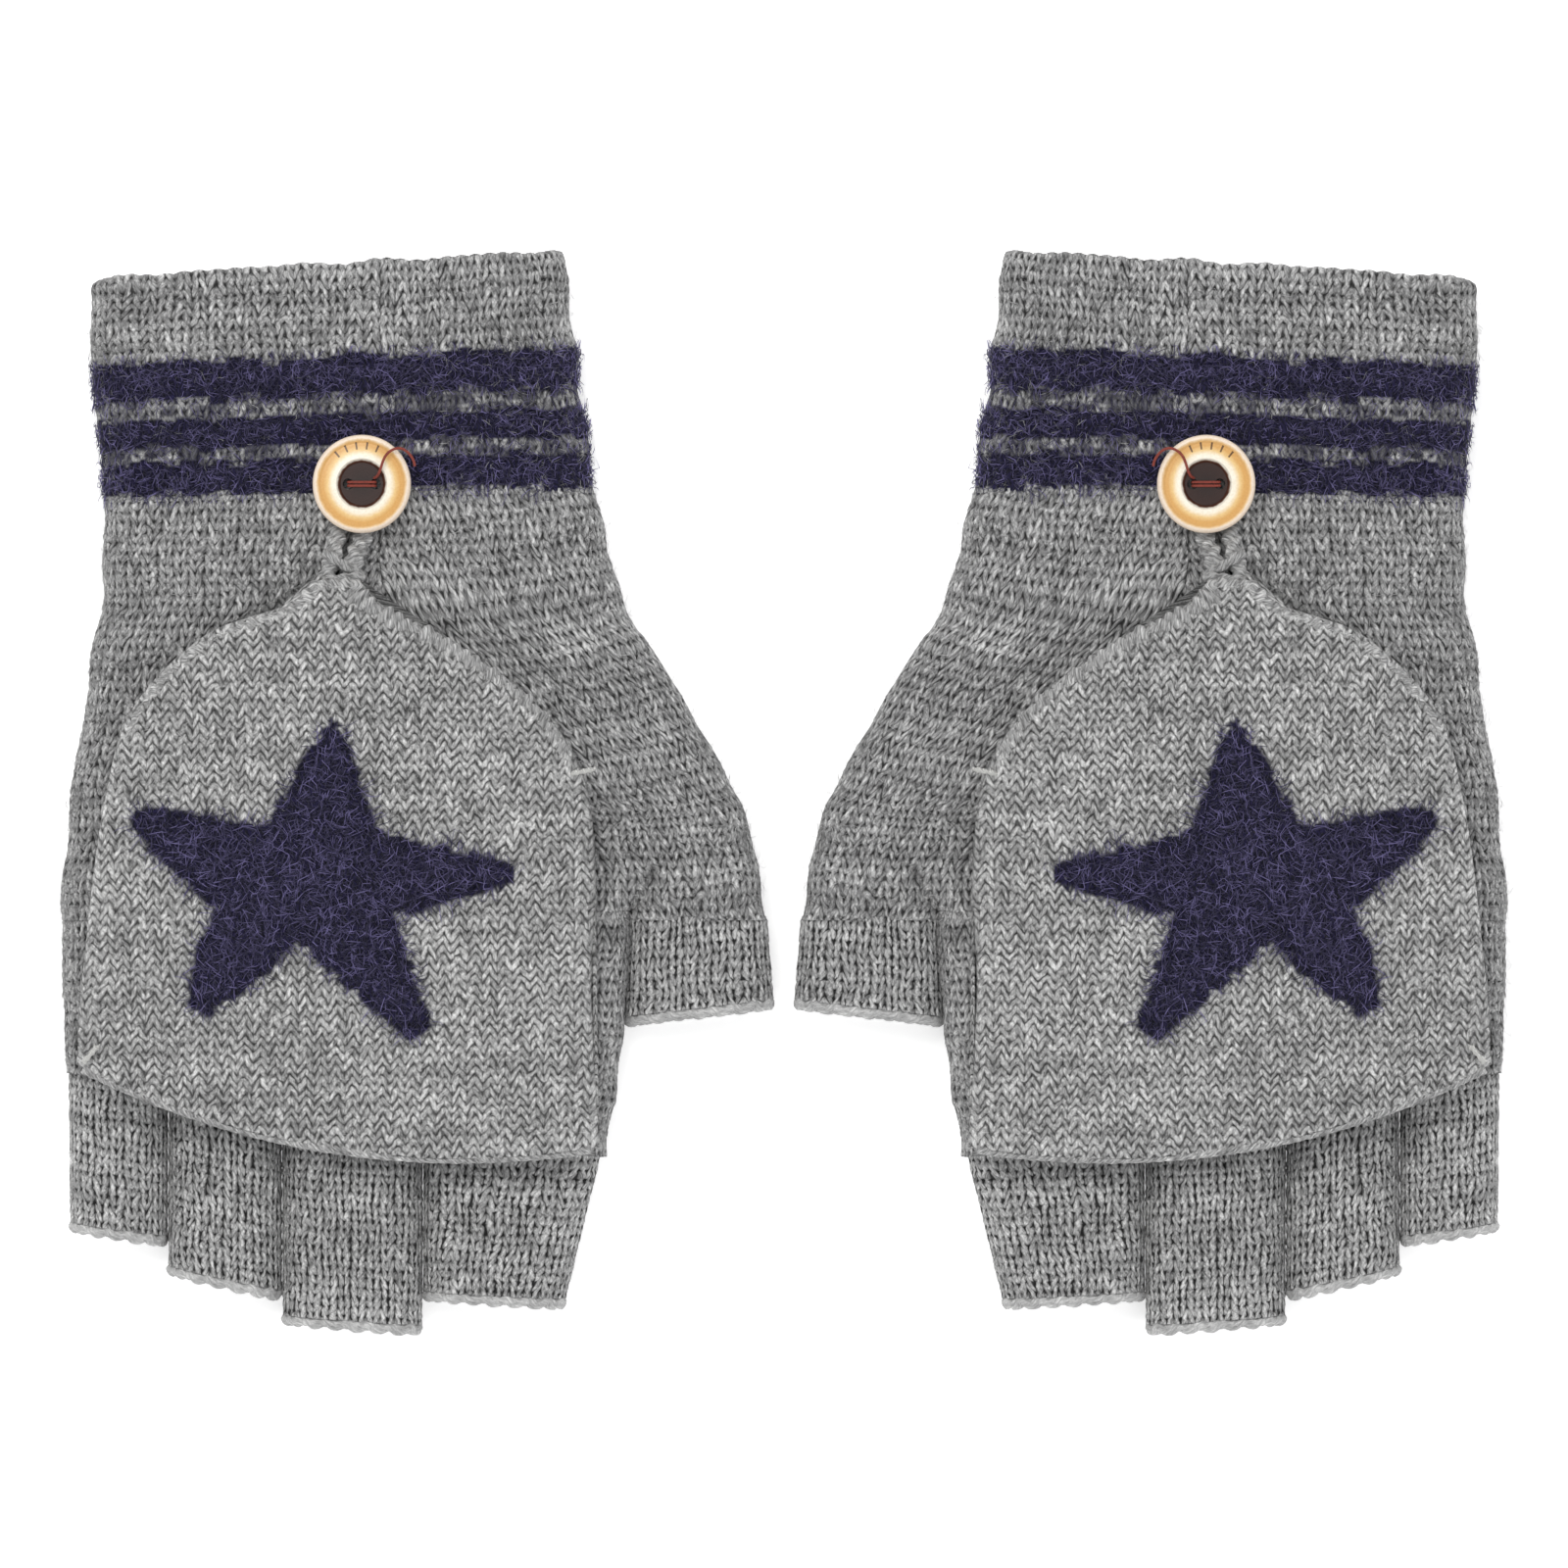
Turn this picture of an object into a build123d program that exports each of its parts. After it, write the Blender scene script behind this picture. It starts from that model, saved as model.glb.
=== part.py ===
from build123d import *
import os
from math import atan2, cos, degrees, radians, sin, sqrt

# A pair of knitted convertible mittens lying on a table, back of the hand up: half-finger gloves,
# each with a mitten hood folded back onto the hand and held by a loop round a wrist button.
# +X runs across the pair, +Y from the fingers to the cuffs, +Z up from the table. Sizes are in mm.
# One mitten is drawn with its thumb towards +X, y = 0 at the thumb crotch and x = 0 at the middle
# of the hand; the other is its mirror image.

# ---- the pair
pair_spacing = 166.4  # between the middles of the two hands

# ---- fabric
wall = 2.0  # one layer of knit
hood_wall = 1.7  # one layer of the hood, pressed flatter
welt_wall = 3.0  # the turned double layer at the wrist opening
pile = 0.8  # how far brushed yarn stands out of the knit
free_gap = 0.3  # between pieces that move against each other
chain_length = 1.8  # the bound-off chain at each open end

# ---- lengths along the hand, from the thumb crotch
cuff_length = 42.4
palm_length = 77.5  # thumb crotch to cuff
welt_length = 17.2
ramp_length = 20.0  # from the cuff's height to the hand's
heel_share, web_share = 0.51, 0.24  # of palm_length: where the thumb side swells, and the web

# ---- widths: how far each outline stands to the little-finger side and to the thumb side
cuff_end_left, cuff_end_right = 44.7, 42.7
stripe_left, stripe_right = 44.3, 44.5
wrist_left, wrist_right = 42.0, 48.1
ramp_left, ramp_right = 42.6, 53.3
heel_left, heel_right = 45.6, 65.0
web_left, web_right = 48.6, 76.5
crotch_left, crotch_right = 50.0, 79.8
finger_side = 54.4  # the thumb side of the hand, past the crotch
knuckle_left, knuckle_right = 48.8, 50.4
cuff_end_slant = 5.4  # how much further the cuff reaches on the thumb side
stripe_slant = 3.5
wrist_slant = 2.0

# ---- bands of brushed yarn, each from and to a share of the striped cuff
pile_bands = [(0.0, 0.27), (0.42, 0.62), (0.74, 0.98)]

# ---- heights over the table
hand_height = 17.0
cuff_height = 14.5
finger_height = 14.0
thumb_height = 12.5
crown_radius = 365.0  # of the back of the hand, across it
side_reach = 7.0  # how far the rounded side folds reach in
shoulder_run = 1.0  # the shortest slope between the crown and the thumb side
sleeve_side_reach = 5.5
sleeve_rise = 1.6  # how much a sleeve's middle stands over its sides

# ---- the hood, folded back
hood_depth = 8.4  # both layers and the pocket between them
mouth_left = (-46.8, -27.1)
mouth_right = (49.4, -42.4)
mouth_belly = 7.8  # how far the mouth bows out towards the fingers
hinge_from_mouth = 4.5  # the fold line, past the mouth's corners
hinge_height = 21.5
knuckle_from_hinge = 3.4
seam_from_hinge = 5.9
under_from_hinge = 7.0
seam_thickness = 1.6
rim_width = 2.0
hem_width = 2.6
tip_seam_width = 3.2
tip_seam_height = 0.7
tip_seam_from = 26.0  # the seam closes the hood above this line
hood_left_side = [(-45.4, -10.0), (-42.0, 18.0), (-36.6, 37.5), (-23.5, 51.5)]
hood_tip_left = (-3.5, 60.5)
hood_tip_right = (5.5, 60.5)
hood_right_side = [(20.5, 52.0), (37.0, 39.8), (46.2, 26.0), (48.6, 8.0), (47.8, -14.0)]

# ---- the tacks that fasten the hood's mouth corner and the end of its tip seam
tack_diameter = 1.4
tack_length = 5.0
tack_inset = 4.2  # from the hood's edge
left_tack_turn = 50.0
right_tack_turn = -15.0

# ---- the star on the hood
star_center = (-2.2, 4.3)
star_reach_x = 37.5
star_reach_y = 31.5
star_inner_share = 0.55
star_turn = 84.0  # degrees, of the first point
star_points = 5
star_rounding = 2.2

# ---- button, thread and loop
button_x = 5.8
button_from_wrist = 1.8  # its middle, past the line between palm and cuff
button_diameter = 18.0
button_thickness = 3.4
button_lip = 0.8
button_belly = 0.7  # how far the rim is rounded
button_bevel = 0.4  # round the eye
button_dish = 0.5  # depth of the glazed ring under the lip
button_eye_diameter = 8.6
button_eye_depth = 1.3
hole_diameter = 2.0
hole_pitch = 5.0
thread_diameter = 0.5
thread_gap = 0.08  # between strands, and between thread and resin
shank_diameter = 2.0
loop_cord = 2.4
loop_clearance = 0.4  # between the loop and the thread shank
loop_end_gap = 0.8  # clears the hood's tip by free_gap where the cord slopes down
loop_rest_gap = 0.2  # between the loop and the fabric that rises towards the hand
loop_bend_inset = 0.7  # how far in from the button's edge the loop becomes level
tail_rise = 0.6  # of the thread's loose end where it crosses the lip

# ---- sleeves: x at the root and at the tip, and the two ends of the tip line
fingers = {
    "little": {"root": (-48.7, -30.5), "tip": (-48.4, -30.6), "tip_y": (-56.5, -59.0)},
    "ring": {"root": (-30.2, -9.6), "tip": (-30.3, -9.5), "tip_y": (-64.5, -69.0)},
    "middle": {"root": (-9.3, 16.5), "tip": (-9.2, 16.4), "tip_y": (-73.6, -75.4)},
    "index": {"root": (16.8, 50.3), "tip": (16.7, 42.9), "tip_y": (-69.2, -70.6)},
}
thumb_tip = ((54.8, -18.6), (81.2, -15.4))


def crown(x, height):
    """Height of the back of the hand at x, where its middle is at that height."""
    return height - crown_radius + sqrt(crown_radius**2 - x**2)


def section(left, right, height, inset=0.0, shoulder=None):
    """Upright cross-section of a flattened tube between two points seen from above.
    It lies flat below, has round sides, and follows the crown above. A shoulder is where the
    crown stops and a straight slope goes on to the thumb's height."""
    run = Vector(right[0] - left[0], right[1] - left[1], 0)
    plane = Plane(origin=(left[0], left[1], 0), x_dir=run, z_dir=run.cross(Vector(0, 0, 1)))
    width = run.length
    tilt = run.X / width
    left_top = crown(left[0] + side_reach, height)
    left_foot, right_foot = (side_reach, inset), (width - side_reach, inset)
    left_end = (side_reach, left_top - inset)
    if shoulder is None:
        right_top = crown(right[0] - side_reach, height)
        crown_end = (width - side_reach, right_top - inset)
        middle_x = (left[0] + right[0]) / 2
    else:
        right_top = thumb_height
        crown_end = ((shoulder - left[0]) / tilt, crown(shoulder, height) - inset)
        middle_x = (left[0] + side_reach + shoulder) / 2
    middle = ((middle_x - left[0]) / tilt, crown(middle_x, height) - inset)
    right_end = (width - side_reach, right_top - inset)
    edges = [
        Line(left_foot, right_foot),
        ThreePointArc(right_foot, (width - inset, right_top / 2), right_end),
        ThreePointArc(crown_end, middle, left_end),
        ThreePointArc(left_end, (inset, left_top / 2), left_foot),
    ]
    if shoulder is not None:
        edges.insert(2, Line(right_end, crown_end))
    return plane * make_face(edges)


def sleeve_section(left, right, height, inset=0.0):
    """Upright cross-section of a finger or thumb sleeve: flat below, rounded above."""
    run = Vector(right[0] - left[0], right[1] - left[1], 0)
    plane = Plane(origin=(left[0], left[1], 0), x_dir=run, z_dir=run.cross(Vector(0, 0, 1)))
    width = run.length
    side = height - sleeve_rise
    reach = sleeve_side_reach
    edges = [
        Line((reach, inset), (width - reach, inset)),
        ThreePointArc((width - reach, inset), (width - inset, side / 2), (width - reach, side - inset)),
        ThreePointArc((width - reach, side - inset), (width / 2, height - inset), (reach, side - inset)),
        ThreePointArc((reach, side - inset), (inset, side / 2), (reach, inset)),
    ]
    return plane * make_face(edges)


def tube(stations, thickness, draw=section):
    """An open tube of fabric through a list of stations, each the arguments of its section."""
    outside = loft([draw(**s) for s in stations], ruled=True)
    inside = loft([draw(**s, inset=thickness) for s in stations], ruled=True)
    return outside - inside


# ------------------------------------------------------------------ stations along the hand
cuff_y = palm_length
cuff_end_y = palm_length + cuff_length
stripe_y = cuff_end_y - welt_length
ramp_y = palm_length - ramp_length


def level(left_x, right_x, y, slant=0.0, height=hand_height, shoulder=None):
    station = {"left": (-left_x, y - slant / 2), "right": (right_x, y + slant / 2), "height": height}
    if shoulder is not None:
        station["shoulder"] = shoulder
    return station


cuff_end = level(cuff_end_left, cuff_end_right, cuff_end_y, cuff_end_slant, cuff_height)
stripe_top = level(stripe_left, stripe_right, stripe_y, stripe_slant, cuff_height)
wrist = level(wrist_left, wrist_right, cuff_y, wrist_slant, cuff_height)
to_shoulder = side_reach + shoulder_run
palm_side = finger_side - to_shoulder
palm_stations = [
    level(wrist_left, wrist_right, cuff_y, wrist_slant, cuff_height, wrist_right - to_shoulder),
    level(ramp_left, ramp_right, ramp_y, 0, hand_height, ramp_right - to_shoulder),
    level(heel_left, heel_right, palm_length * heel_share, 0, hand_height, palm_side),
    level(web_left, web_right, palm_length * web_share, 0, hand_height, palm_side),
    level(crotch_left, crotch_right, 0, 0, hand_height, palm_side),
]

# The fold line of the hood, across the finger roots, and lines parallel to it.
hinge_run = Vector(mouth_right[0] - mouth_left[0], mouth_right[1] - mouth_left[1], 0).normalized()
to_cuff = Vector(-hinge_run.Y, hinge_run.X, 0)
hinge_point = Vector(mouth_left[0], mouth_left[1], 0) - to_cuff * hinge_from_mouth


def line_y(x, from_hinge):
    """y at x on the line parallel to the hood's fold, that far towards the cuff."""
    start = hinge_point + to_cuff * from_hinge
    return start.Y + (x - start.X) * hinge_run.Y / hinge_run.X


knuckle_stations = [
    level(crotch_left, finger_side, 0),
    {
        "left": (-knuckle_left, line_y(-knuckle_left, knuckle_from_hinge)),
        "right": (knuckle_right, line_y(knuckle_right, knuckle_from_hinge)),
        "height": hand_height,
    },
]


# ------------------------------------------------------------------ cuff
def cuff_pieces():
    return {
        "cuff_welt": tube([cuff_end, stripe_top], welt_wall),
        "striped_cuff": tube([stripe_top, wrist], wall),
        "cuff_pile": cuff_pile(),
    }


def between(share):
    """A station on the striped cuff, that share of the way from the welt to the wrist."""
    station = {"height": cuff_height}
    for side in ("left", "right"):
        (x0, y0), (x1, y1) = stripe_top[side], wrist[side]
        station[side] = (x0 + (x1 - x0) * share, y0 + (y1 - y0) * share)
    return station


def cuff_pile():
    """Three bands of brushed yarn standing out of the striped cuff, flat where it rests."""
    solid_cuff = loft([section(**stripe_top), section(**wrist)], ruled=True)
    above_table = Box(400, 400, 100, align=(Align.CENTER, Align.CENTER, Align.MIN))
    bands = []
    for start, end in pile_bands:
        outer = loft([section(**between(s), inset=-pile) for s in (start, end)], ruled=True)
        bands += ((outer & above_table) - solid_cuff).solids()
    return Compound(bands)


# ------------------------------------------------------------------ sleeves
def bound_edge(tip_left, tip_right, height):
    """The chain that closes off the yarn at a sleeve's open end."""
    run = Vector(tip_right[0] - tip_left[0], tip_right[1] - tip_left[1], 0).normalized()
    away = Vector(run.Y, -run.X, 0)
    ring = sleeve_section(tip_left, tip_right, height) - sleeve_section(tip_left, tip_right, height, wall)
    return extrude(ring, amount=chain_length, dir=away)


def finger_pieces(name, values):
    root_x, tip_x, tip_y = values["root"], values["tip"], values["tip_y"]
    root_line = knuckle_from_hinge - free_gap
    left_root = (root_x[0], line_y(root_x[0], root_line))
    right_root = (root_x[1], line_y(root_x[1], root_line))
    left_tip, right_tip = (tip_x[0], tip_y[0]), (tip_x[1], tip_y[1])
    stations = [
        {"left": left_root, "right": right_root, "height": finger_height},
        {"left": left_tip, "right": right_tip, "height": finger_height},
    ]
    return {
        f"{name}_sleeve": tube(stations, wall, sleeve_section),
        f"{name}_edge": bound_edge(left_tip, right_tip, finger_height),
    }


def thumb_pieces():
    root = {
        "left": (finger_side + free_gap, -free_gap),
        "right": (crotch_right, -free_gap),
        "height": thumb_height,
    }
    tip = {"left": thumb_tip[0], "right": thumb_tip[1], "height": thumb_height}
    return {
        "thumb_sleeve": tube([root, tip], wall, sleeve_section),
        "thumb_edge": bound_edge(*thumb_tip, thumb_height),
    }


# ------------------------------------------------------------------ hood
def crown_slab(low, high):
    """The space between two heights over the crown of the hand, wide and long."""
    center_z = hand_height - crown_radius
    turned = Location((0, 0, center_z), (90, 0, 0))
    return turned * (Cylinder(crown_radius + high, 400) - Cylinder(crown_radius + low, 400))


def mouth_edge():
    middle = (Vector(*mouth_left, 0) + Vector(*mouth_right, 0)) * 0.5 - to_cuff * mouth_belly
    return ThreePointArc(mouth_right, (middle.X, middle.Y), mouth_left)


hood_left = Spline(mouth_left, *hood_left_side, hood_tip_left)
hood_right = Spline(hood_tip_right, *hood_right_side, mouth_right)


def hood_outline():
    tip = Line(hood_tip_left, hood_tip_right)
    return make_face([hood_left, tip, hood_right, mouth_edge()])


def inward(side, inset, steps=12):
    """A copy of one side of the hood, moved towards its middle."""
    points = []
    for k in range(steps + 1):
        place, along = side.position_at(k / steps), side.tangent_at(k / steps)
        points.append((place.X + along.Y * inset, place.Y - along.X * inset))
    return Spline(*points)


def hood_core(inset):
    """The hood's outline inside its sides and tip, open at the mouth."""
    left, right = inward(hood_left, inset), inward(hood_right, inset)
    return make_face([left, Line(left @ 1, right @ 0), right, Line(right @ 1, left @ 0)])


def half_plane(from_hinge, reach=300.0):
    """Everything on the cuff side of a line parallel to the hood's fold."""
    turn = degrees(atan2(hinge_run.Y, hinge_run.X))
    start = hinge_point + to_cuff * from_hinge
    block = Box(2 * reach, reach, reach, align=(Align.CENTER, Align.MIN, Align.CENTER))
    return Location((start.X, start.Y, 0), (0, 0, turn)) * block


def upright(face):
    return extrude(face, amount=100, dir=(0, 0, 1))


def cuff_side(y):
    """Everything on the cuff side of a line straight across."""
    return Location((0, y, 0)) * Box(300, 300, 300, align=(Align.CENTER, Align.MIN, Align.CENTER))


def star_face():
    corners = []
    for k in range(2 * star_points):
        share = 1.0 if k % 2 == 0 else star_inner_share
        angle = radians(star_turn - k * 180 / star_points)
        corners.append(
            (
                star_center[0] + star_reach_x * share * cos(angle),
                star_center[1] + star_reach_y * share * sin(angle),
            )
        )
    star = make_face(Polyline(*corners, close=True))
    return fillet(star.vertices(), star_rounding)


def bar(start, end, diameter):
    """A straight round stitch between two points."""
    line = Vector(*end) - Vector(*start)
    return Solid.make_cylinder(diameter / 2, line.length, Plane(origin=start, z_dir=line))


def hood_pieces():
    bottom = free_gap
    top = free_gap + hood_depth
    whole = upright(hood_outline())
    core = upright(hood_core(rim_width))
    seam_core = upright(hood_core(tip_seam_width))
    behind_seam = half_plane(under_from_hinge)
    under = whole & crown_slab(bottom, bottom + hood_wall) & behind_seam
    rim = (whole & crown_slab(bottom + hood_wall, top - hood_wall) & behind_seam) - core
    top_layer = whole & crown_slab(top - hood_wall, top)
    hem_zone = upright(make_face(offset(Wire(mouth_edge()), hem_width)))
    hem = top_layer & hem_zone
    top_layer = top_layer - hem_zone
    tip_seam = (whole & crown_slab(top, top + tip_seam_height) & cuff_side(tip_seam_from)) - seam_core
    star = upright(star_face()) & crown_slab(top, top + pile)
    return {
        "hood_under_layer": under,
        "hood_rim": rim,
        "hood_top_layer": top_layer,
        "mouth_hem": hem,
        "tip_seam": tip_seam,
        "star_pile": star,
        "corner_tacks": corner_tacks(top),
    }


def corner_tacks(top):
    """Short bars of thread where the hood's mouth corner and the end of its tip seam are fastened."""
    places = [
        (mouth_left[0] + tack_inset, mouth_left[1] + tack_inset, left_tack_turn),
        (hood_right_side[2][0] - tack_inset, tip_seam_from - tack_inset, right_tack_turn),
    ]
    bars = []
    for x, y, turn in places:
        reach_x = tack_length / 2 * cos(radians(turn))
        reach_y = tack_length / 2 * sin(radians(turn))
        highest = crown(abs(x) - abs(reach_x) - tack_diameter / 2, hand_height)
        z = highest + top + tack_diameter / 2
        bars.append(bar((x - reach_x, y - reach_y, z), (x + reach_x, y + reach_y, z), tack_diameter))
    return Compound(bars)


def attachment_seam(knuckle_body):
    """The line of linking that joins the hood's under layer to the back of the hand."""
    inset_x = side_reach
    half = seam_thickness / 2 / hinge_run.X
    zone = half_plane(seam_from_hinge - half) - half_plane(seam_from_hinge + half)
    span = (-knuckle_left + inset_x, knuckle_right - inset_x)
    strip = Location(((span[0] + span[1]) / 2, 0, 0)) * Box(span[1] - span[0], 300, 100)
    return (crown_slab(0, seam_thickness) & zone & strip) - knuckle_body


# ------------------------------------------------------------------ button, thread and loop
button_center = (button_x, palm_length + button_from_wrist)
pile_top = crown(button_x, cuff_height) + pile
loop_radius = shank_diameter / 2 + loop_clearance + loop_cord / 2
tip_x = (hood_tip_left[0] + hood_tip_right[0]) / 2
tip_point = Vector(tip_x, hood_tip_left[1] + loop_end_gap, hand_height + free_gap + hood_depth / 2)
# The loop falls from the hood's tip to the button's edge, then lies level round the shank.
bend_inset = button_diameter / 2 - loop_bend_inset
ramp_share = (palm_length - button_center[1] + bend_inset) / ramp_length
fabric_at_bend = cuff_height + (hand_height - cuff_height) * ramp_share
loop_low = max(pile_top + free_gap, fabric_at_bend + loop_rest_gap) + loop_cord / 2
loop_center = Vector(*button_center, loop_low)
button_bottom = loop_low + loop_cord / 2 + free_gap
button_top = button_bottom + button_thickness


def at_button(shape):
    return Location((button_center[0], button_center[1], 0)) * shape


def hole_pair():
    deep = 4 * button_thickness
    hole = Cylinder(hole_diameter / 2, deep)
    return [Location((side * hole_pitch / 2, 0, button_bottom)) * hole for side in (-1, 1)]


def button():
    """A turned resin button: rounded lip, shallow glazed ring, deep dark eye and two holes."""
    radius, low, high = button_diameter / 2, button_bottom, button_top
    eye, floor = button_eye_diameter / 2, eye_floor()
    waist = low + button_belly * 3  # where the rim is widest
    foot, crest = radius - button_belly * 2.2, radius - button_belly
    glaze_out, glaze_in = crest - button_lip, eye + button_bevel
    profile = [
        Line((0, low), (foot, low)),
        ThreePointArc((foot, low), (radius - button_belly / 3, (low + waist) / 2), (radius, waist)),
        ThreePointArc((radius, waist), (radius - button_belly / 3, high - button_belly / 2), (crest, high)),
        Line((crest, high), (glaze_out, high - button_dish)),
        Line((glaze_out, high - button_dish), (glaze_in, high - button_dish / 2)),
        Line((glaze_in, high - button_dish / 2), (eye, floor + button_bevel)),
        Line((eye, floor + button_bevel), (eye - button_bevel, floor)),
        Line((eye - button_bevel, floor), (0, floor)),
        Line((0, floor), (0, low)),
    ]
    face = Plane.XZ * make_face(profile)
    body = revolve(face, Axis.Z)
    for hole in hole_pair():
        body = body - hole
    return at_button(body)


def eye_floor():
    return button_top - button_eye_depth


def button_stitches():
    """Thread through the two holes: two strands side by side across the bridge."""
    z = eye_floor() + thread_diameter / 2 + thread_gap
    strands = []
    for side in (-1, 1):
        y = side * (thread_diameter / 2 + thread_gap)
        start, end = (-hole_pitch / 2, y, z), (hole_pitch / 2, y, z)
        drop = button_thickness - button_eye_depth - free_gap
        path = FilletPolyline(
            (start[0], y, z - drop), start, end, (end[0], y, z - drop), radius=thread_diameter
        )
        strands.append(round_cord(path, thread_diameter))
    return at_button(Compound(strands))


def round_cord(path, diameter):
    start = path.position_at(0)
    return sweep(Plane(origin=start, z_dir=path.tangent_at(0)) * Circle(diameter / 2), path=path)


def thread_shank():
    """The wrapped stalk of thread between the cuff and the button's underside."""
    height = button_bottom - free_gap - pile_top
    stalk = Cylinder(shank_diameter / 2, height, align=(Align.CENTER, Align.CENTER, Align.MIN))
    return at_button(Location((0, 0, pile_top)) * stalk)


def thread_tail():
    """The loose end of the thread: out of the eye, over the lip and curled down beside it."""
    start_z = eye_floor() + thread_diameter / 2 + thread_gap
    over_z = button_top + thread_diameter / 2 + 2 * thread_gap
    reach = button_diameter / 2
    points = [
        (hole_pitch / 2 - 0.2, 1.1, start_z),
        (hole_pitch / 2 + 0.9, 2.4, over_z + tail_rise / 2),
        (reach * 0.52, reach * 0.6, over_z + tail_rise),
        (reach * 0.78, reach * 0.72, over_z + tail_rise),
        (reach * 0.98, reach * 0.6, over_z),
        (reach * 1.08, reach * 0.36, over_z - 0.6),
    ]
    return at_button(round_cord(Spline(*points), thread_diameter))


def button_loop():
    """A knitted cord from the hood's tip, round the thread shank and back."""
    along = Vector(button_center[0] - tip_x, button_center[1] - tip_point.Y, 0).normalized()
    across = along.cross(Vector(0, 0, 1)) * loop_radius
    bend = loop_center - along * bend_inset
    far = loop_center + along * loop_radius
    tip_spread = Vector(loop_radius, 0, 0)
    one_side = [tip_point - tip_spread, bend - across, far - across]
    other_side = [far + across, bend + across, tip_point + tip_spread]
    path = FilletPolyline(*one_side, *other_side, radius=loop_radius * 0.99)
    return round_cord(path, loop_cord)


# ------------------------------------------------------------------ one mitten, then the pair
def mitten():
    pieces = cuff_pieces()
    pieces["palm_body"] = tube(palm_stations, wall)
    pieces["knuckle_body"] = tube(knuckle_stations, wall)
    pieces["attachment_seam"] = attachment_seam(pieces["knuckle_body"])
    pieces.update(thumb_pieces())
    for name, values in fingers.items():
        pieces.update(finger_pieces(name, values))
    pieces.update(hood_pieces())
    pieces["button"] = button()
    pieces["button_stitches"] = button_stitches()
    pieces["thread_shank"] = thread_shank()
    pieces["thread_tail"] = thread_tail()
    pieces["button_loop"] = button_loop()
    return pieces


# The pair's footprint is centred on the origin.
far_end = min(min(v["tip_y"]) for v in fingers.values()) - chain_length
near_end = cuff_end_y + cuff_end_slant / 2
middle_y = (near_end + far_end) / 2
place_right = Location((-pair_spacing / 2, -middle_y, 0))

if __name__ == "__main__":
    os.makedirs("parts", exist_ok=True)
    for name, shape in mitten().items():
        placed = place_right * shape
        export_step(placed, f"parts/right_{name}.step")
        export_step(mirror(placed, about=Plane.YZ), f"parts/left_{name}.step")
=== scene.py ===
import math
import bpy
import numpy as np
from mathutils import Matrix, Vector


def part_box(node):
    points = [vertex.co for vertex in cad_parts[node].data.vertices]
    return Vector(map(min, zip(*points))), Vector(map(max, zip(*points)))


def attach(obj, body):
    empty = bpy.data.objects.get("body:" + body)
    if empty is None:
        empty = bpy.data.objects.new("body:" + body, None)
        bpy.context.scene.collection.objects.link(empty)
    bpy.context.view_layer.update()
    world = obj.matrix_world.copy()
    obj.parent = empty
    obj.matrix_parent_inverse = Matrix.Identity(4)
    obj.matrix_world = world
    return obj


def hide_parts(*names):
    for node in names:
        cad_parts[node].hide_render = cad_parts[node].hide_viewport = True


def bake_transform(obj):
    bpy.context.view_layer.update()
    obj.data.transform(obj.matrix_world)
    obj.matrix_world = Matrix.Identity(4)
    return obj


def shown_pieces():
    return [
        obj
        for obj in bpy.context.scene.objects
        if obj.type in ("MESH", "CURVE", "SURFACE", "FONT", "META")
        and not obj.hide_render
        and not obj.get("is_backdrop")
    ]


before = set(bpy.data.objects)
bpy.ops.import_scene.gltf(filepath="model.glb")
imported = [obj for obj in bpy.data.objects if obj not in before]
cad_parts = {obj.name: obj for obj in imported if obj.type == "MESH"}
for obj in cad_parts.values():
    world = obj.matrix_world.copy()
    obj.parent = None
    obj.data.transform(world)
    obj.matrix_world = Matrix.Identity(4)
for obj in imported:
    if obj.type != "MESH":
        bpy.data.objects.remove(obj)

# Knitted convertible mittens, a pair. One mitten is made with its thumb towards +X, in millimetres,
# with y = 0 at the thumb crotch and x = 0 at the middle of the hand. The other is its mirror image.
for leftover in ("Cube", "Light", "Camera"):
    if leftover in bpy.data.objects:
        bpy.data.objects.remove(bpy.data.objects[leftover])
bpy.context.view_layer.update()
print("frame loaded")

mm = 0.001
pairSpacing = 166.4
middleY = 22.7
finished = []  # every piece of the first mitten, with what its mirror image needs


# Camera, light and floor
studio = {
    "height": 2.2,  # of the viewer over the table, in metres
    "view": 288.3,  # width in view at focusZ
    "viewY": 1.6,
    "focusZ": 14.0,
    "world": 0.83,
    "key": 6.16,  # watts
    "fill": 2.25,
    "table": 0.42,  # the table gives light of its own, which washes its shadows out
}


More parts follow.
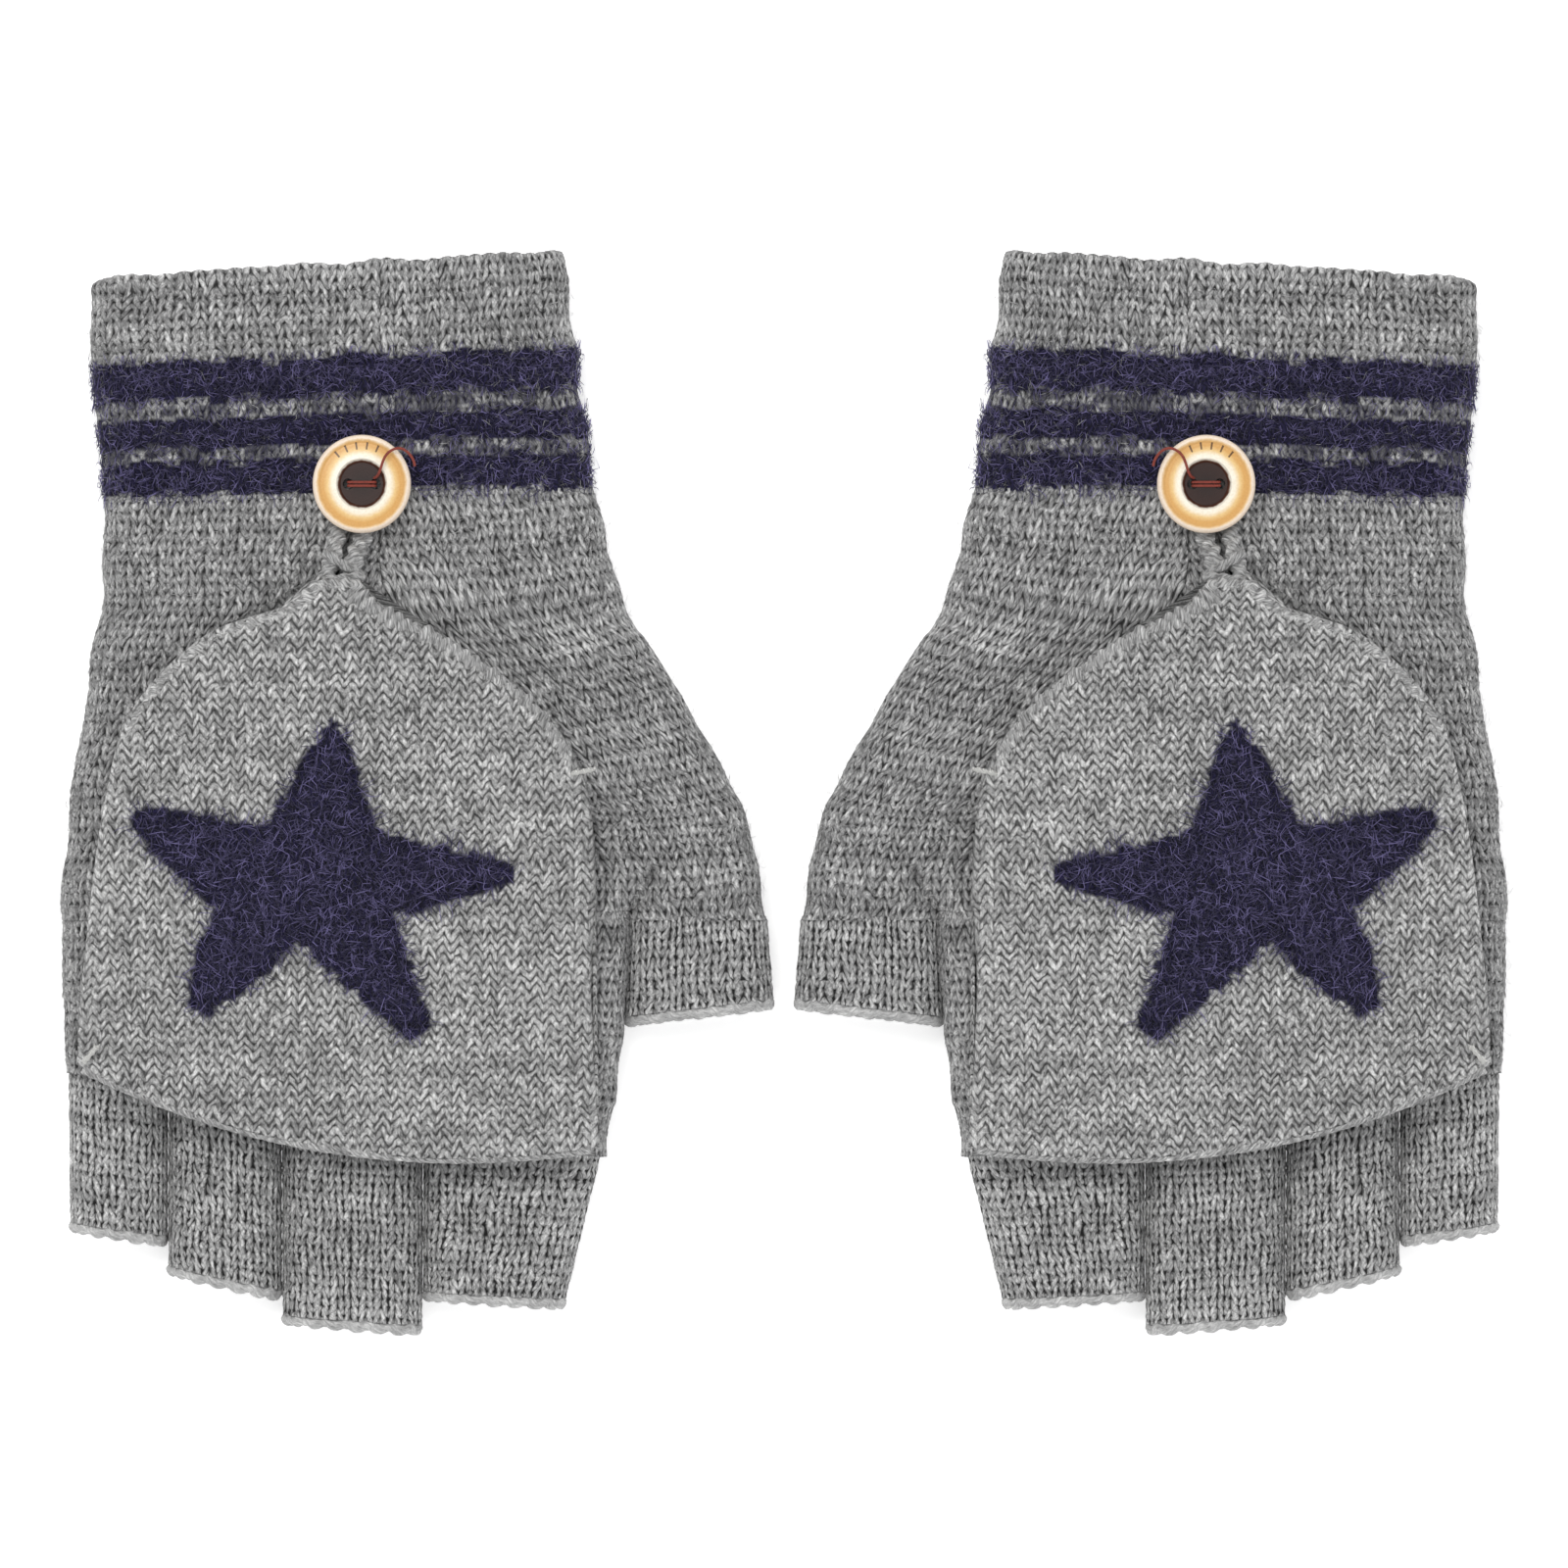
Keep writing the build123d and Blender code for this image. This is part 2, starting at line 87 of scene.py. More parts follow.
def makeStudio():
    scene = bpy.context.scene
    cam = bpy.data.cameras.new("viewer")
    cam.sensor_width = 36.0
    cam.lens = 36.0 * (studio["height"] - studio["focusZ"] * mm) / (studio["view"] * mm)
    eye = bpy.data.objects.new("viewer", cam)
    eye.location = (0, studio["viewY"] * mm, studio["height"])
    cam.clip_start, cam.clip_end = 0.01, 50
    scene.collection.objects.link(eye)
    scene.camera = eye
    scene.view_settings.view_transform = "Standard"
    scene.view_settings.look = "None"
    world = bpy.data.worlds.new("softRoom")
    world.use_nodes = True
    world.node_tree.nodes["Background"].inputs["Color"].default_value = (1.0, 1.0, 1.0, 1.0)
    world.node_tree.nodes["Background"].inputs["Strength"].default_value = studio["world"]
    scene.world = world
    for name, place, size, power, shade in (
        ("keyLight", (-0.32, 0.5, 1.2), 0.6, studio["key"], (1.0, 0.99, 0.97)),
        ("fillLight", (0.7, -0.7, 1.2), 0.9, studio["fill"], (0.97, 0.98, 1.0)),
    ):
        light = bpy.data.lights.new(name, "AREA")
        light.size = size
        light.energy = power
        light.color = shade
        lamp = bpy.data.objects.new(name, light)
        lamp.location = place
        lamp.rotation_mode = "QUATERNION"
        lamp.rotation_quaternion = (-Vector(place)).to_track_quat("-Z", "Y")
        scene.collection.objects.link(lamp)
    bpy.ops.object.select_all(action="DESELECT")
    bpy.ops.mesh.primitive_plane_add(size=6, location=(0, 0, 0))
    floor = bpy.context.object
    floor.name = "floor"
    floor.data.transform(Matrix.Translation((0, 0, -0.0003)))
    paper = bpy.data.materials.new("whiteTable")
    paper.use_nodes = True
    looks = {"Base Color": (0.93, 0.93, 0.93, 1), "Roughness": 0.7, "Emission Color": (1, 1, 1, 1),
             "Emission Strength": studio["table"]}
    for label, value in looks.items():
        paper.node_tree.nodes["Principled BSDF"].inputs[label].default_value = value
    floor.data.materials.append(paper)
    floor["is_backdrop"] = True


makeStudio()


# Shader helpers
def setInputs(node, values):
    for label, value in values.items():
        node.inputs[label].default_value = value


# short names for adding nodes to a tree
class Graph:
    def __init__(self, tree):
        self.tree = tree

    def node(self, kind, values=None, vector=None):
        node = self.tree.nodes.new(kind)
        setInputs(node, values or {})
        if vector is not None:
            self.link(vector, node.inputs["Vector"])
        return node

    def group(self, tree, values):
        node = self.node("ShaderNodeGroup")
        node.node_tree = tree
        setInputs(node, values)
        return node

    def attribute(self, label):
        node = self.node("ShaderNodeAttribute")
        node.attribute_name = label
        return node.outputs["Fac"]

    def bump(self, height, strength, distance, shader):
        node = self.node("ShaderNodeBump", {"Strength": strength, "Distance": distance})
        self.link(height, node.inputs["Height"])
        self.link(node.outputs[0], shader.inputs["Normal"])

    def link(self, a, b):
        self.tree.links.new(a, b)

    def math(self, operation, a, b=None, c=None):
        node = self.tree.nodes.new("ShaderNodeMath")
        node.operation = operation
        for k, value in enumerate((a, b, c)):
            if value is None:
                continue
            if isinstance(value, (int, float)):
                node.inputs[k].default_value = value
            else:
                self.link(value, node.inputs[k])
        return node.outputs[0]

    def mix(self, share, a, b, blend="MIX"):
        node = self.tree.nodes.new("ShaderNodeMix")
        node.data_type = "RGBA"
        node.blend_type = blend
        colours = [socket for socket in node.inputs if socket.type == "RGBA"]
        for socket, value in zip((node.inputs["Factor"], *colours), (share, a, b)):
            if isinstance(value, (int, float)):
                socket.default_value = value
            elif isinstance(value, tuple):
                socket.default_value = (*value, 1.0)
            else:
                self.link(value, socket)
        return [s for s in node.outputs if s.type == "RGBA"][0]

    # a where share is 0, b where it is 1
    def choose(self, share, a, b):
        return self.math("MULTIPLY_ADD", share, self.math("SUBTRACT", b, a), a)

    def clamped(self, value, times, plus):
        node = self.tree.nodes.new("ShaderNodeMath")
        node.operation = "MULTIPLY_ADD"
        node.use_clamp = True
        self.link(value, node.inputs[0])
        node.inputs[1].default_value = times
        node.inputs[2].default_value = plus
        return node.outputs[0]

    def noise(self, vector, scale, detail=2.0, rough=0.5):
        values = {"Scale": scale, "Detail": detail, "Roughness": rough}
        return self.node("ShaderNodeTexNoise", values, vector).outputs["Fac"]

    def vector(self, x, y, z=0.0):
        node = self.tree.nodes.new("ShaderNodeCombineXYZ")
        for k, value in enumerate((x, y, z)):
            if isinstance(value, (int, float)):
                node.inputs[k].default_value = value
            else:
                self.link(value, node.inputs[k])
        return node.outputs[0]

    def ramp(self, value, stops):
        node = self.tree.nodes.new("ShaderNodeValToRGB")
        elements = node.color_ramp.elements
        while len(elements) > 1:
            elements.remove(elements[-1])
        elements[0].position, elements[0].color = stops[0][0], (*stops[0][1], 1)
        for place, colour in stops[1:]:
            element = elements.new(place)
            element.color = (*colour, 1)
        self.link(value, node.inputs[0])
        return node.outputs[0]


# a node group with these inputs, giving a colour and a height
def newGroup(name, inputs):
    tree = bpy.data.node_groups.new(name, "ShaderNodeTree")
    for label, value in inputs.items():
        kind = "NodeSocketColor" if isinstance(value, tuple) else "NodeSocketFloat"
        tree.interface.new_socket(label, in_out="INPUT", socket_type=kind).default_value = value
    for label, kind in (("Color", "NodeSocketColor"), ("Height", "NodeSocketFloat")):
        tree.interface.new_socket(label, in_out="OUTPUT", socket_type=kind)
    start = tree.nodes.new("NodeGroupInput")
    end = tree.nodes.new("NodeGroupOutput")
    return tree, Graph(tree), start, end


# spun wool of mixed light and dark fibres, laid in stitches on the piece's own map, with painted shade in the
# gaps between its legs and on low stitches
def melangeGroup():
    tree, g, start, end = newGroup("melangeYarn", {
        "Dark": (0.06, 0.06, 0.06, 1), "Middle": (0.3, 0.3, 0.3, 1), "Light": (0.62, 0.62, 0.62, 1),
        "Hollow": 1.0, "Fleck": 1.0, "Lean": 0.27, "Leg Width": 0.19, "Gap": 0.2,
    })
    uv = tree.nodes.new("ShaderNodeUVMap")
    uv.uv_map = "UVMap"
    parts = tree.nodes.new("ShaderNodeSeparateXYZ")
    # no stitch sits quite true
    loose = g.node("ShaderNodeTexNoise", {"Scale": 1.15, "Detail": 2.0}, uv.outputs[0])
    moved = tree.nodes.new("ShaderNodeVectorMath")
    moved.operation = "MULTIPLY_ADD"
    moved.inputs[1].default_value = (0.34, 0.62, 0.0)
    g.link(loose.outputs["Color"], moved.inputs[0])
    g.link(uv.outputs[0], moved.inputs[2])
    g.link(moved.outputs[0], parts.inputs[0])
    u = g.math("SUBTRACT", parts.outputs[0], 0.17)
    v = g.math("SUBTRACT", parts.outputs[1], 0.31)
    fromMiddle = g.math("ABSOLUTE", g.math("SUBTRACT", g.math("FRACT", u), 0.5))
    leg = g.math("FLOOR", g.math("MULTIPLY", u, 2.0))
    best, tone, along, across = None, None, None, None
    for k in (-1, 0, 1):  # the leg of this course, and the ends of the two beside it
        course = g.math("ADD", g.math("FLOOR", v), float(k))
        cell = tree.nodes.new("ShaderNodeTexWhiteNoise")
        cell.noise_dimensions = "2D"
        g.link(g.vector(leg, course), cell.inputs["Vector"])
        chanceValue = cell.outputs["Value"]
        drawn = tree.nodes.new("ShaderNodeSeparateColor")
        g.link(cell.outputs["Color"], drawn.inputs[0])
        here = g.math("SUBTRACT", g.math("SUBTRACT", v, course), 0.5)
        centre = g.math("MULTIPLY_ADD", here, start.outputs["Lean"], 0.25)
        centre = g.math("MULTIPLY_ADD", g.math("SUBTRACT", drawn.outputs[0], 0.5), 0.09, centre)
        turned = g.math("MULTIPLY", g.math("SUBTRACT", drawn.outputs[1], 0.5), here)
        centre = g.math("MULTIPLY_ADD", turned, 0.16, centre)
        swell = g.math("MULTIPLY_ADD", drawn.outputs[2], 0.4, 0.78)
        slim = g.math("MULTIPLY", start.outputs["Leg Width"], swell)
        side = g.math("DIVIDE", g.math("SUBTRACT", fromMiddle, centre), slim)
        reach = g.math("DIVIDE", here, g.math("MULTIPLY_ADD", drawn.outputs[1], 0.22, 0.86))
        body = g.math("SUBTRACT", 1.0, g.math("MULTIPLY", side, side))
        body = g.math("SUBTRACT", body, g.math("POWER", g.math("ABSOLUTE", reach), 4.0))
        body = g.math("SQRT", g.math("MAXIMUM", body, 0.0))
        body = g.math("MULTIPLY", body, g.math("MULTIPLY_ADD", here, -0.16, 0.95))
        if best is None:
            best, tone, along, across = body, chanceValue, here, side
            continue
        higher = g.math("GREATER_THAN", body, best)
        tone = g.choose(higher, tone, chanceValue)
        along = g.choose(higher, along, here)
        across = g.choose(higher, across, side)
        best = g.math("MAXIMUM", body, best)
    # plies wind round the leg, so the flecks run at a slant to it
    twist = g.math("MULTIPLY_ADD", along, 2.4, g.math("MULTIPLY", across, 0.9))
    seed = g.math("MULTIPLY_ADD", tone, 37.0, leg)
    fibre = g.noise(g.vector(twist, g.math("MULTIPLY", along, 0.9), seed), 1.0, 2.0, 0.6)
    grain = g.vector(g.math("MULTIPLY", across, 2.6), g.math("MULTIPLY", along, 3.4), seed)
    fine = g.noise(grain, 1.0, 3.0, 0.7)
    streak = g.noise(g.vector(g.math("MULTIPLY", u, 0.1), g.math("MULTIPLY", v, 0.5), 3.0), 1.0, 2.0, 0.6)
    shift = g.math("MULTIPLY", g.math("SUBTRACT", tone, 0.5), 0.18)
    shift = g.math("MULTIPLY_ADD", g.math("SUBTRACT", fibre, 0.5), 1.25, shift)
    shift = g.math("MULTIPLY_ADD", g.math("SUBTRACT", fine, 0.5), 1.5, shift)
    shift = g.math("MULTIPLY_ADD", g.math("SUBTRACT", streak, 0.5), 0.55, shift)
    level = g.math("ADD", g.math("MULTIPLY", shift, start.outputs["Fleck"]), 0.5)
    low = g.mix(g.clamped(level, 2.0, 0.0), start.outputs["Dark"], start.outputs["Middle"])
    both = g.mix(g.clamped(level, 2.0, -1.0), low, start.outputs["Light"])
    # painted shade: the gaps between the legs are darkened down to the gap level
    depth = g.math("POWER", g.math("MINIMUM", g.math("MULTIPLY", best, 1.12), 1.0), 1.25)
    # painted shade on low stitches and linings, from the hollow input
    paintedHollowShade = g.math("MULTIPLY_ADD", g.math("MINIMUM", start.outputs["Hollow"], 0.75), 0.3, 0.8)
    shade = g.math("MULTIPLY", g.math("MULTIPLY_ADD", depth, g.math("SUBTRACT", 1.0, start.outputs["Gap"]),
                                      start.outputs["Gap"]), paintedHollowShade)
    grey = tree.nodes.new("ShaderNodeCombineColor")
    for k in range(3):
        g.link(shade, grey.inputs[k])
    g.link(g.mix(1.0, both, grey.outputs[0], "MULTIPLY"), end.inputs["Color"])
    g.link(g.math("MULTIPLY_ADD", fine, 0.35, best), end.inputs["Height"])
    return tree


# brushed yarn: a mat of crossing fibres, on object coordinates
def brushedGroup():
    tree, g, start, end = newGroup("brushedYarn", {
        "Deep": (0.008, 0.007, 0.03, 1), "Bright": (0.06, 0.05, 0.16, 1),
    })
    place = tree.nodes.new("ShaderNodeTexCoord")
    warp = g.node("ShaderNodeTexNoise", {"Scale": 420}, place.outputs["Object"])
    shift = tree.nodes.new("ShaderNodeVectorMath")
    shift.operation = "MULTIPLY_ADD"
    shift.inputs[1].default_value = (0.004, 0.004, 0.004)
    g.link(warp.outputs["Color"], shift.inputs[0])
    g.link(place.outputs["Object"], shift.inputs[2])
    wave = {"Scale": 330, "Distortion": 9, "Detail": 3}
    one = g.node("ShaderNodeTexWave", wave, shift.outputs[0])
    lump = g.noise(shift.outputs[0], 700, 3.0, 0.65)
    mask = g.math("MULTIPLY", one.outputs["Fac"], lump)
    colour = g.mix(g.math("MULTIPLY", mask, 1.5), start.outputs["Deep"], start.outputs["Bright"])
    g.link(colour, end.inputs["Color"])
    g.link(mask, end.inputs["Height"])
    return tree


melange = melangeGroup()
brushed = brushedGroup()
# dark, middle and light fibres of each knit; deep and bright ends of the rest
yarnTones = {
    # grey, sleeve and hood are one yarn at three lightnesses: painted light and shade, the sleeves and the
    # hood lighter than the hand
    "grey": ((0.050, 0.050, 0.051), (0.290, 0.290, 0.291), (0.760, 0.760, 0.758)),
    "sleeve": ((0.07, 0.07, 0.07), (0.37, 0.37, 0.37), (0.86, 0.86, 0.855)),
    "hood": ((0.085, 0.085, 0.085), (0.375, 0.375, 0.374), (0.84, 0.84, 0.835)),
    "pale": ((0.15, 0.15, 0.15), (0.46, 0.46, 0.46), (0.82, 0.82, 0.81)),
    "link": ((0.07, 0.07, 0.07), (0.34, 0.34, 0.34), (0.76, 0.76, 0.755)),
    "navy": ((0.0030, 0.0027, 0.010), (0.018, 0.015, 0.056)),
    "navyFibre": ((0.009, 0.0072, 0.038), (0.24, 0.21, 0.46)),
    "greyFibre": ((0.22, 0.22, 0.22), (0.75, 0.75, 0.75)),
    "redThread": ((0.06, 0.008, 0.005), (0.32, 0.05, 0.03)),
    "tackThread": ((0.26, 0.26, 0.25), (0.62, 0.62, 0.60)),
}


def rgba(colour):
    return (*colour, 1.0)


def newMaterial(name, settings):
    mat = bpy.data.materials.new(name)
    mat.use_nodes = True
    shader = mat.node_tree.nodes["Principled BSDF"]
    setInputs(shader, settings)
    return mat, Graph(mat.node_tree), shader


# gap is the level of painted shade between the legs, from 0 black to 1 none
def woolMaterial(name, tones, fleck=1.0, withPile=True, bump=0.8, lean=0.27, width=0.2, gap=0.12):
    mat, g, shader = newMaterial(name, {"Roughness": 0.92, "Specular IOR Level": 0.2, "Sheen Weight": 0.12,
                                        "Sheen Roughness": 0.5})
    dark, middle, light = (rgba(tone) for tone in yarnTones[tones])
    yarn = g.group(melange, {"Dark": dark, "Middle": middle, "Light": light, "Fleck": fleck, "Lean": lean,
                             "Leg Width": width, "Gap": gap})
    # painted shade on low stitches, inner faces and between strands, read from the hollow attribute
    g.link(g.attribute("hollow"), yarn.inputs["Hollow"])
    colour = yarn.outputs["Color"]
    if withPile:
        deep, bright = (rgba(tone) for tone in yarnTones["navy"])
        navy = g.group(brushed, {"Deep": deep, "Bright": bright})
        colour = g.mix(g.attribute("pile"), colour, navy.outputs["Color"])
    g.link(colour, shader.inputs["Base Color"])
    g.bump(yarn.outputs["Height"], bump, 0.0006, shader)
    return mat


def fibreMaterial(name, tones, sheen=0.08):
    mat, g, shader = newMaterial(name, {"Roughness": 0.6, "Specular IOR Level": 0.3, "Sheen Weight": sheen})
    deep, bright = yarnTones[tones]
    g.link(g.ramp(g.attribute("tone"), [(0.0, deep), (1.0, bright)]), shader.inputs["Base Color"])
    return mat


# twisted thread, with painted shade between its turns and random specks
def threadMaterial(name, tones, scale=2600):
    mat, g, shader = newMaterial(name, {"Roughness": 0.6})
    place = g.node("ShaderNodeTexCoord")
    twist = g.node("ShaderNodeTexWave", {"Scale": scale, "Distortion": 2.5}, place.outputs["Object"])
    twist.bands_direction = "DIAGONAL"
    speck = g.noise(place.outputs["Object"], 2400, 2.0)
    share = g.math("MULTIPLY", g.math("ADD", twist.outputs["Fac"], speck), 0.6)
    deep, bright = yarnTones[tones]
    g.link(g.ramp(share, [(0.15, deep), (0.85, bright)]), shader.inputs["Base Color"])
    g.bump(share, 0.5, 0.0002, shader)
    return mat


greyKnit = woolMaterial("greyMelangeKnit", "grey")
sleeveKnit = woolMaterial("sleeveMelangeKnit", "sleeve", lean=0.21, width=0.18, gap=0.06)
hoodKnit = woolMaterial("hoodMelangeKnit", "hood", lean=0.38, width=0.215, gap=0.26)
paleYarn = woolMaterial("paleChainYarn", "pale", 0.8, False, 0.3, gap=0.75)
linkYarn = woolMaterial("linkingYarn", "link", 1.0, False, 0.4, gap=0.5)
navyFibre = fibreMaterial("brushedNavyFibre", "navyFibre")
greyFibre = fibreMaterial("looseGreyFibre", "greyFibre", 0.1)
redThread = threadMaterial("redBrownThread", "redThread")
tackThread = threadMaterial("paleTackThread", "tackThread", 1500)
print("materials made")


# The knit: stitches laid on any surface
knit = {
    "wale": 2.9,  # width of a stitch
    "course": 1.95,  # height of a stitch
    "relief": 0.85,  # how far a stitch's legs stand up
    "lean": 0.23,  # how far a leg leans out over its height, in wales
    "legWidth": 0.185,
    "legLength": 0.92,
    "layer": 1.9,  # thickness of the fabric
    "across": (0.0, 0.15, 0.33, 0.5, 0.67, 0.85),  # where the mesh's columns stand within a wale
    "acrossCoarse": (0.0, 0.33, 0.67),
    "rows": 4,  # rows of mesh in a course
}


# a fixed random number from 0 to 1 for each pair
def chance(a, b, seed):
    value = np.sin(a * 12.9898 + b * 78.233 + seed * 37.719) * 43758.5453
    return value - np.floor(value)


# how far the yarn stands up at wale u and course v, from 0 to 1
def stitchHeight(u, v, lean=None, width=None):
    lean = knit["lean"] if lean is None else lean
    width = knit["legWidth"] if width is None else width
    wale = np.floor(u)
    side = np.sign(u - wale - 0.5)
    fromMiddle = np.abs(u - wale - 0.5)
    best = np.zeros_like(u)
    for k in (-1, 0, 1):
        course = np.floor(v) + k
        along = v - course - 0.5
        r = chance(wale * 2 + (side > 0), course, 1)
        r2 = chance(wale * 2 + (side > 0), course, 2)
        centre = 0.25 + lean * along + 0.05 * (r - 0.5)
        across = (fromMiddle - centre) / (width * (0.88 + 0.28 * r2))
        lengthways = along / knit["legLength"]
        body = np.sqrt(np.clip(1 - across**2 - lengthways**4, 0, 1))
        body = body * (0.93 - 0.22 * along) * (0.86 + 0.26 * r)
        best = np.maximum(best, body)
    return np.clip(best, 0, 1.15)


# column places from one wale to another, each wale divided at the same places
def marks(first, last, steps):
    values = []
    for wale in range(int(first), int(last)):
        values += [wale + s for s in steps]
    values.append(float(last))
    return np.array(values)


def rowMarks(first, last, per):
    return np.linspace(first, last, int(round(abs(last - first) * per)) + 1)


# a flat grid with one column and row of vertices for each value, and where each vertex is in it
def newGrid(name, columns, rows):
    bpy.ops.object.select_all(action="DESELECT")
    bpy.ops.mesh.primitive_grid_add(x_subdivisions=len(columns) - 1, y_subdivisions=len(rows) - 1, size=2)
    piece = bpy.context.object
    piece.name = name
    piece.data.name = name
    flat = np.empty(len(piece.data.vertices) * 3, np.float32)
    piece.data.vertices.foreach_get("co", flat)
    flat = flat.reshape(-1, 3)
    i = np.rint((flat[:, 0] + 1) / 2 * (len(columns) - 1)).astype(int)
    j = np.rint((flat[:, 1] + 1) / 2 * (len(rows) - 1)).astype(int)
    return piece, i, j


# moves the grid's vertices to their places, in mm on the mitten, and writes its maps, with its painted-shade
# and pile attributes
def setSurface(piece, place, uv, hollow, pile=None):
    co = np.array(place, float).T
    co[:, 0] -= pairSpacing / 2
    co[:, 1] -= middleY
    mesh = piece.data
    mesh.vertices.foreach_set("co", (co * mm).astype(np.float32).ravel())
    index = np.empty(len(mesh.loops), np.int32)
    mesh.loops.foreach_get("vertex_index", index)
    layer = mesh.uv_layers.get("UVMap") or mesh.uv_layers.new(name="UVMap")
    layer.data.foreach_set("uv", np.stack([uv[0][index], uv[1][index]], 1).astype(np.float32).ravel())
    for label, values in (("hollow", hollow), ("pile", pile)):
        if values is None:
            values = np.zeros(len(co))
        data = mesh.attributes.new(label, "FLOAT", "POINT")
        data.data.foreach_set("value", np.asarray(values, np.float32))
    mesh.update()


def selectOnly(piece):
    bpy.ops.object.select_all(action="DESELECT")
    bpy.context.view_layer.objects.active = piece
    piece.select_set(True)


# merges what coincides within gap; joined sheets are also filled and turned alike
def closeUp(piece, gap=0.004, joined=False):
    selectOnly(piece)
    bpy.ops.object.mode_set(mode="EDIT")
    bpy.ops.mesh.select_all(action="SELECT")
    bpy.ops.mesh.remove_doubles(threshold=gap * mm)
    bpy.ops.mesh.dissolve_degenerate(threshold=gap * mm * 0.5)
    bpy.ops.mesh.delete_loose()
    if joined:
        bpy.ops.mesh.select_all(action="SELECT")
        bpy.ops.mesh.fill_holes(sides=0)
        bpy.ops.mesh.select_all(action="SELECT")
        bpy.ops.mesh.normals_make_consistent(inside=False)
    bpy.ops.object.mode_set(mode="OBJECT")
    mesh = piece.data
    mesh.calc_loop_triangles()
    co = np.empty(len(mesh.vertices) * 3)
    mesh.vertices.foreach_get("co", co)
    corners = np.empty(len(mesh.loop_triangles) * 3, np.int32)
    mesh.loop_triangles.foreach_get("vertices", corners)
    p = (co.reshape(-1, 3) - co.reshape(-1, 3).mean(0))[corners.reshape(-1, 3)]
    volume = np.einsum("ij,ij->i", p[:, 0], np.cross(p[:, 1], p[:, 2])).sum()
    if volume < 0:
        mesh.flip_normals()
    bpy.ops.object.shade_smooth()
    return piece


def joinAll(pieces, name):
    bpy.ops.object.select_all(action="DESELECT")
    for piece in pieces:
        piece.select_set(True)
    bpy.context.view_layer.objects.active = pieces[0]
    if len(pieces) > 1:
        bpy.ops.object.join()
    whole = bpy.context.view_layer.objects.active
    whole.name = name
    whole.data.name = name
    return whole


# notes a finished piece; both mittens are placed from these at the end
def keep(piece, body, replaces, slot, material, bend=None):
    piece.data.materials.clear()
    piece.data.materials.append(material)
    finished.append({"piece": piece, "body": body, "replaces": replaces, "slot": slot, "bend": bend})
    print("made", piece.name, len(piece.data.polygons))


def smoothStep(value):
    t = np.clip(value, 0, 1)
    return t * t * (3 - 2 * t)


# values at stations along y, with the corners between them rounded
def eased(y, stations, values, window=7.0):
    order = np.argsort(stations)
    xs, vs = np.array(stations, float)[order], np.array(values, float)[order]
    fine = np.arange(xs[0] - 30, xs[-1] + 30, 0.5)
    raw = np.interp(fine, xs, vs)
    raw[fine < xs[0]] = vs[0] + (fine[fine < xs[0]] - xs[0]) * (vs[1] - vs[0]) / (xs[1] - xs[0])
    raw[fine > xs[-1]] = vs[-1] + (fine[fine > xs[-1]] - xs[-1]) * (vs[-1] - vs[-2]) / (xs[-1] - xs[-2])
    half = int(window / 0.5)
    kernel = np.hanning(2 * half + 3)
    soft = np.convolve(np.pad(raw, half + 1, mode="edge"), kernel / kernel.sum(), mode="valid")
    return np.interp(y, fine, soft)


# a slow, soft unevenness from about -1 to 1
def wander(x, y, size, seed):
    total = 0
    for k in range(5):
        angle = chance(k, seed, 5) * 6.28
        wave = size * (0.7 + 0.8 * chance(k, seed, 6))
        along = x * np.cos(angle) + y * np.sin(angle)
        total = total + np.sin(along * 6.28 / wave + chance(k, seed, 7) * 6.28)
    return total / 3.0


sleeves = {
    "reach": 6.6,
    "rise": 2.2,
    "wale": 2.7,
    "course": 1.75,
    "thumbCourse": 1.8,
    "lean": 0.2,
    "sides": 6.0,  # what the section's two round sides add to half of its girth
    "liningRows": 9,
    "fingers": {
        "little": {"root": (-48.7, -30.5), "tip": (-48.4, -30.6), "tipY": (-56.5, -59.0)},
        "ring": {"root": (-30.2, -9.6), "tip": (-30.3, -9.5), "tipY": (-64.5, -69.0)},
        "middle": {"root": (-9.3, 16.5), "tip": (-9.2, 16.4), "tipY": (-73.6, -75.4)},
        "index": {"root": (16.8, 50.3), "tip": (16.7, 42.9), "tipY": (-69.2, -70.6)},
    },
    "thumb": {"root": (54.5, 79.8), "tip": (53.7, 81.2), "tipY": (-18.6, -15.4)},
}


# The hand: one flattened tube, with its wales following both outlines
hand = {
    "crownRadius": 365.0,
    "height": 17.0,
    "cuffHeight": 14.5,
    "fingerHeight": 14.0,
    "thumbHeight": 12.5,
    "sideReach": 7.0,
    "y": (-60.0, -43.0, 0.0, 18.6, 39.5, 57.5, 77.5, 102.7, 119.9),
    "left": (48.8, 48.8, 50.0, 48.6, 45.6, 42.6, 42.0, 44.3, 44.7),
    "right": (50.2, 50.4, 79.8, 76.5, 65.0, 53.3, 48.1, 44.5, 42.7),
    "knuckleRight": 54.9,
    "slantY": (-60.0, 57.5, 77.5, 102.7, 119.9),
    "slant": (0.0, 0.0, 2.0, 3.5, 5.4),
    "meetY": (-60.0, 0.0, 26.0, 40.0, 52.0, 60.0, 119.9),
    "meet": (42.5, 42.0, 38.0, 29.0, 16.0, 9.0, 9.0),  # where the wales of the two sides meet
}
cuff = {
    "bands": ((0.0, 0.27), (0.42, 0.62), (0.74, 0.98)),  # brushed yarn, as shares of the striped part
    "bandsEnd": 102.7,  # y where the striped part ends and the welt starts
    "bandsLong": 25.2,
    "weltCourse": 13,
    "courses": 22,
}


def crown(x, height):
    return height - hand["crownRadius"] + np.sqrt(hand["crownRadius"]**2 - x**2)


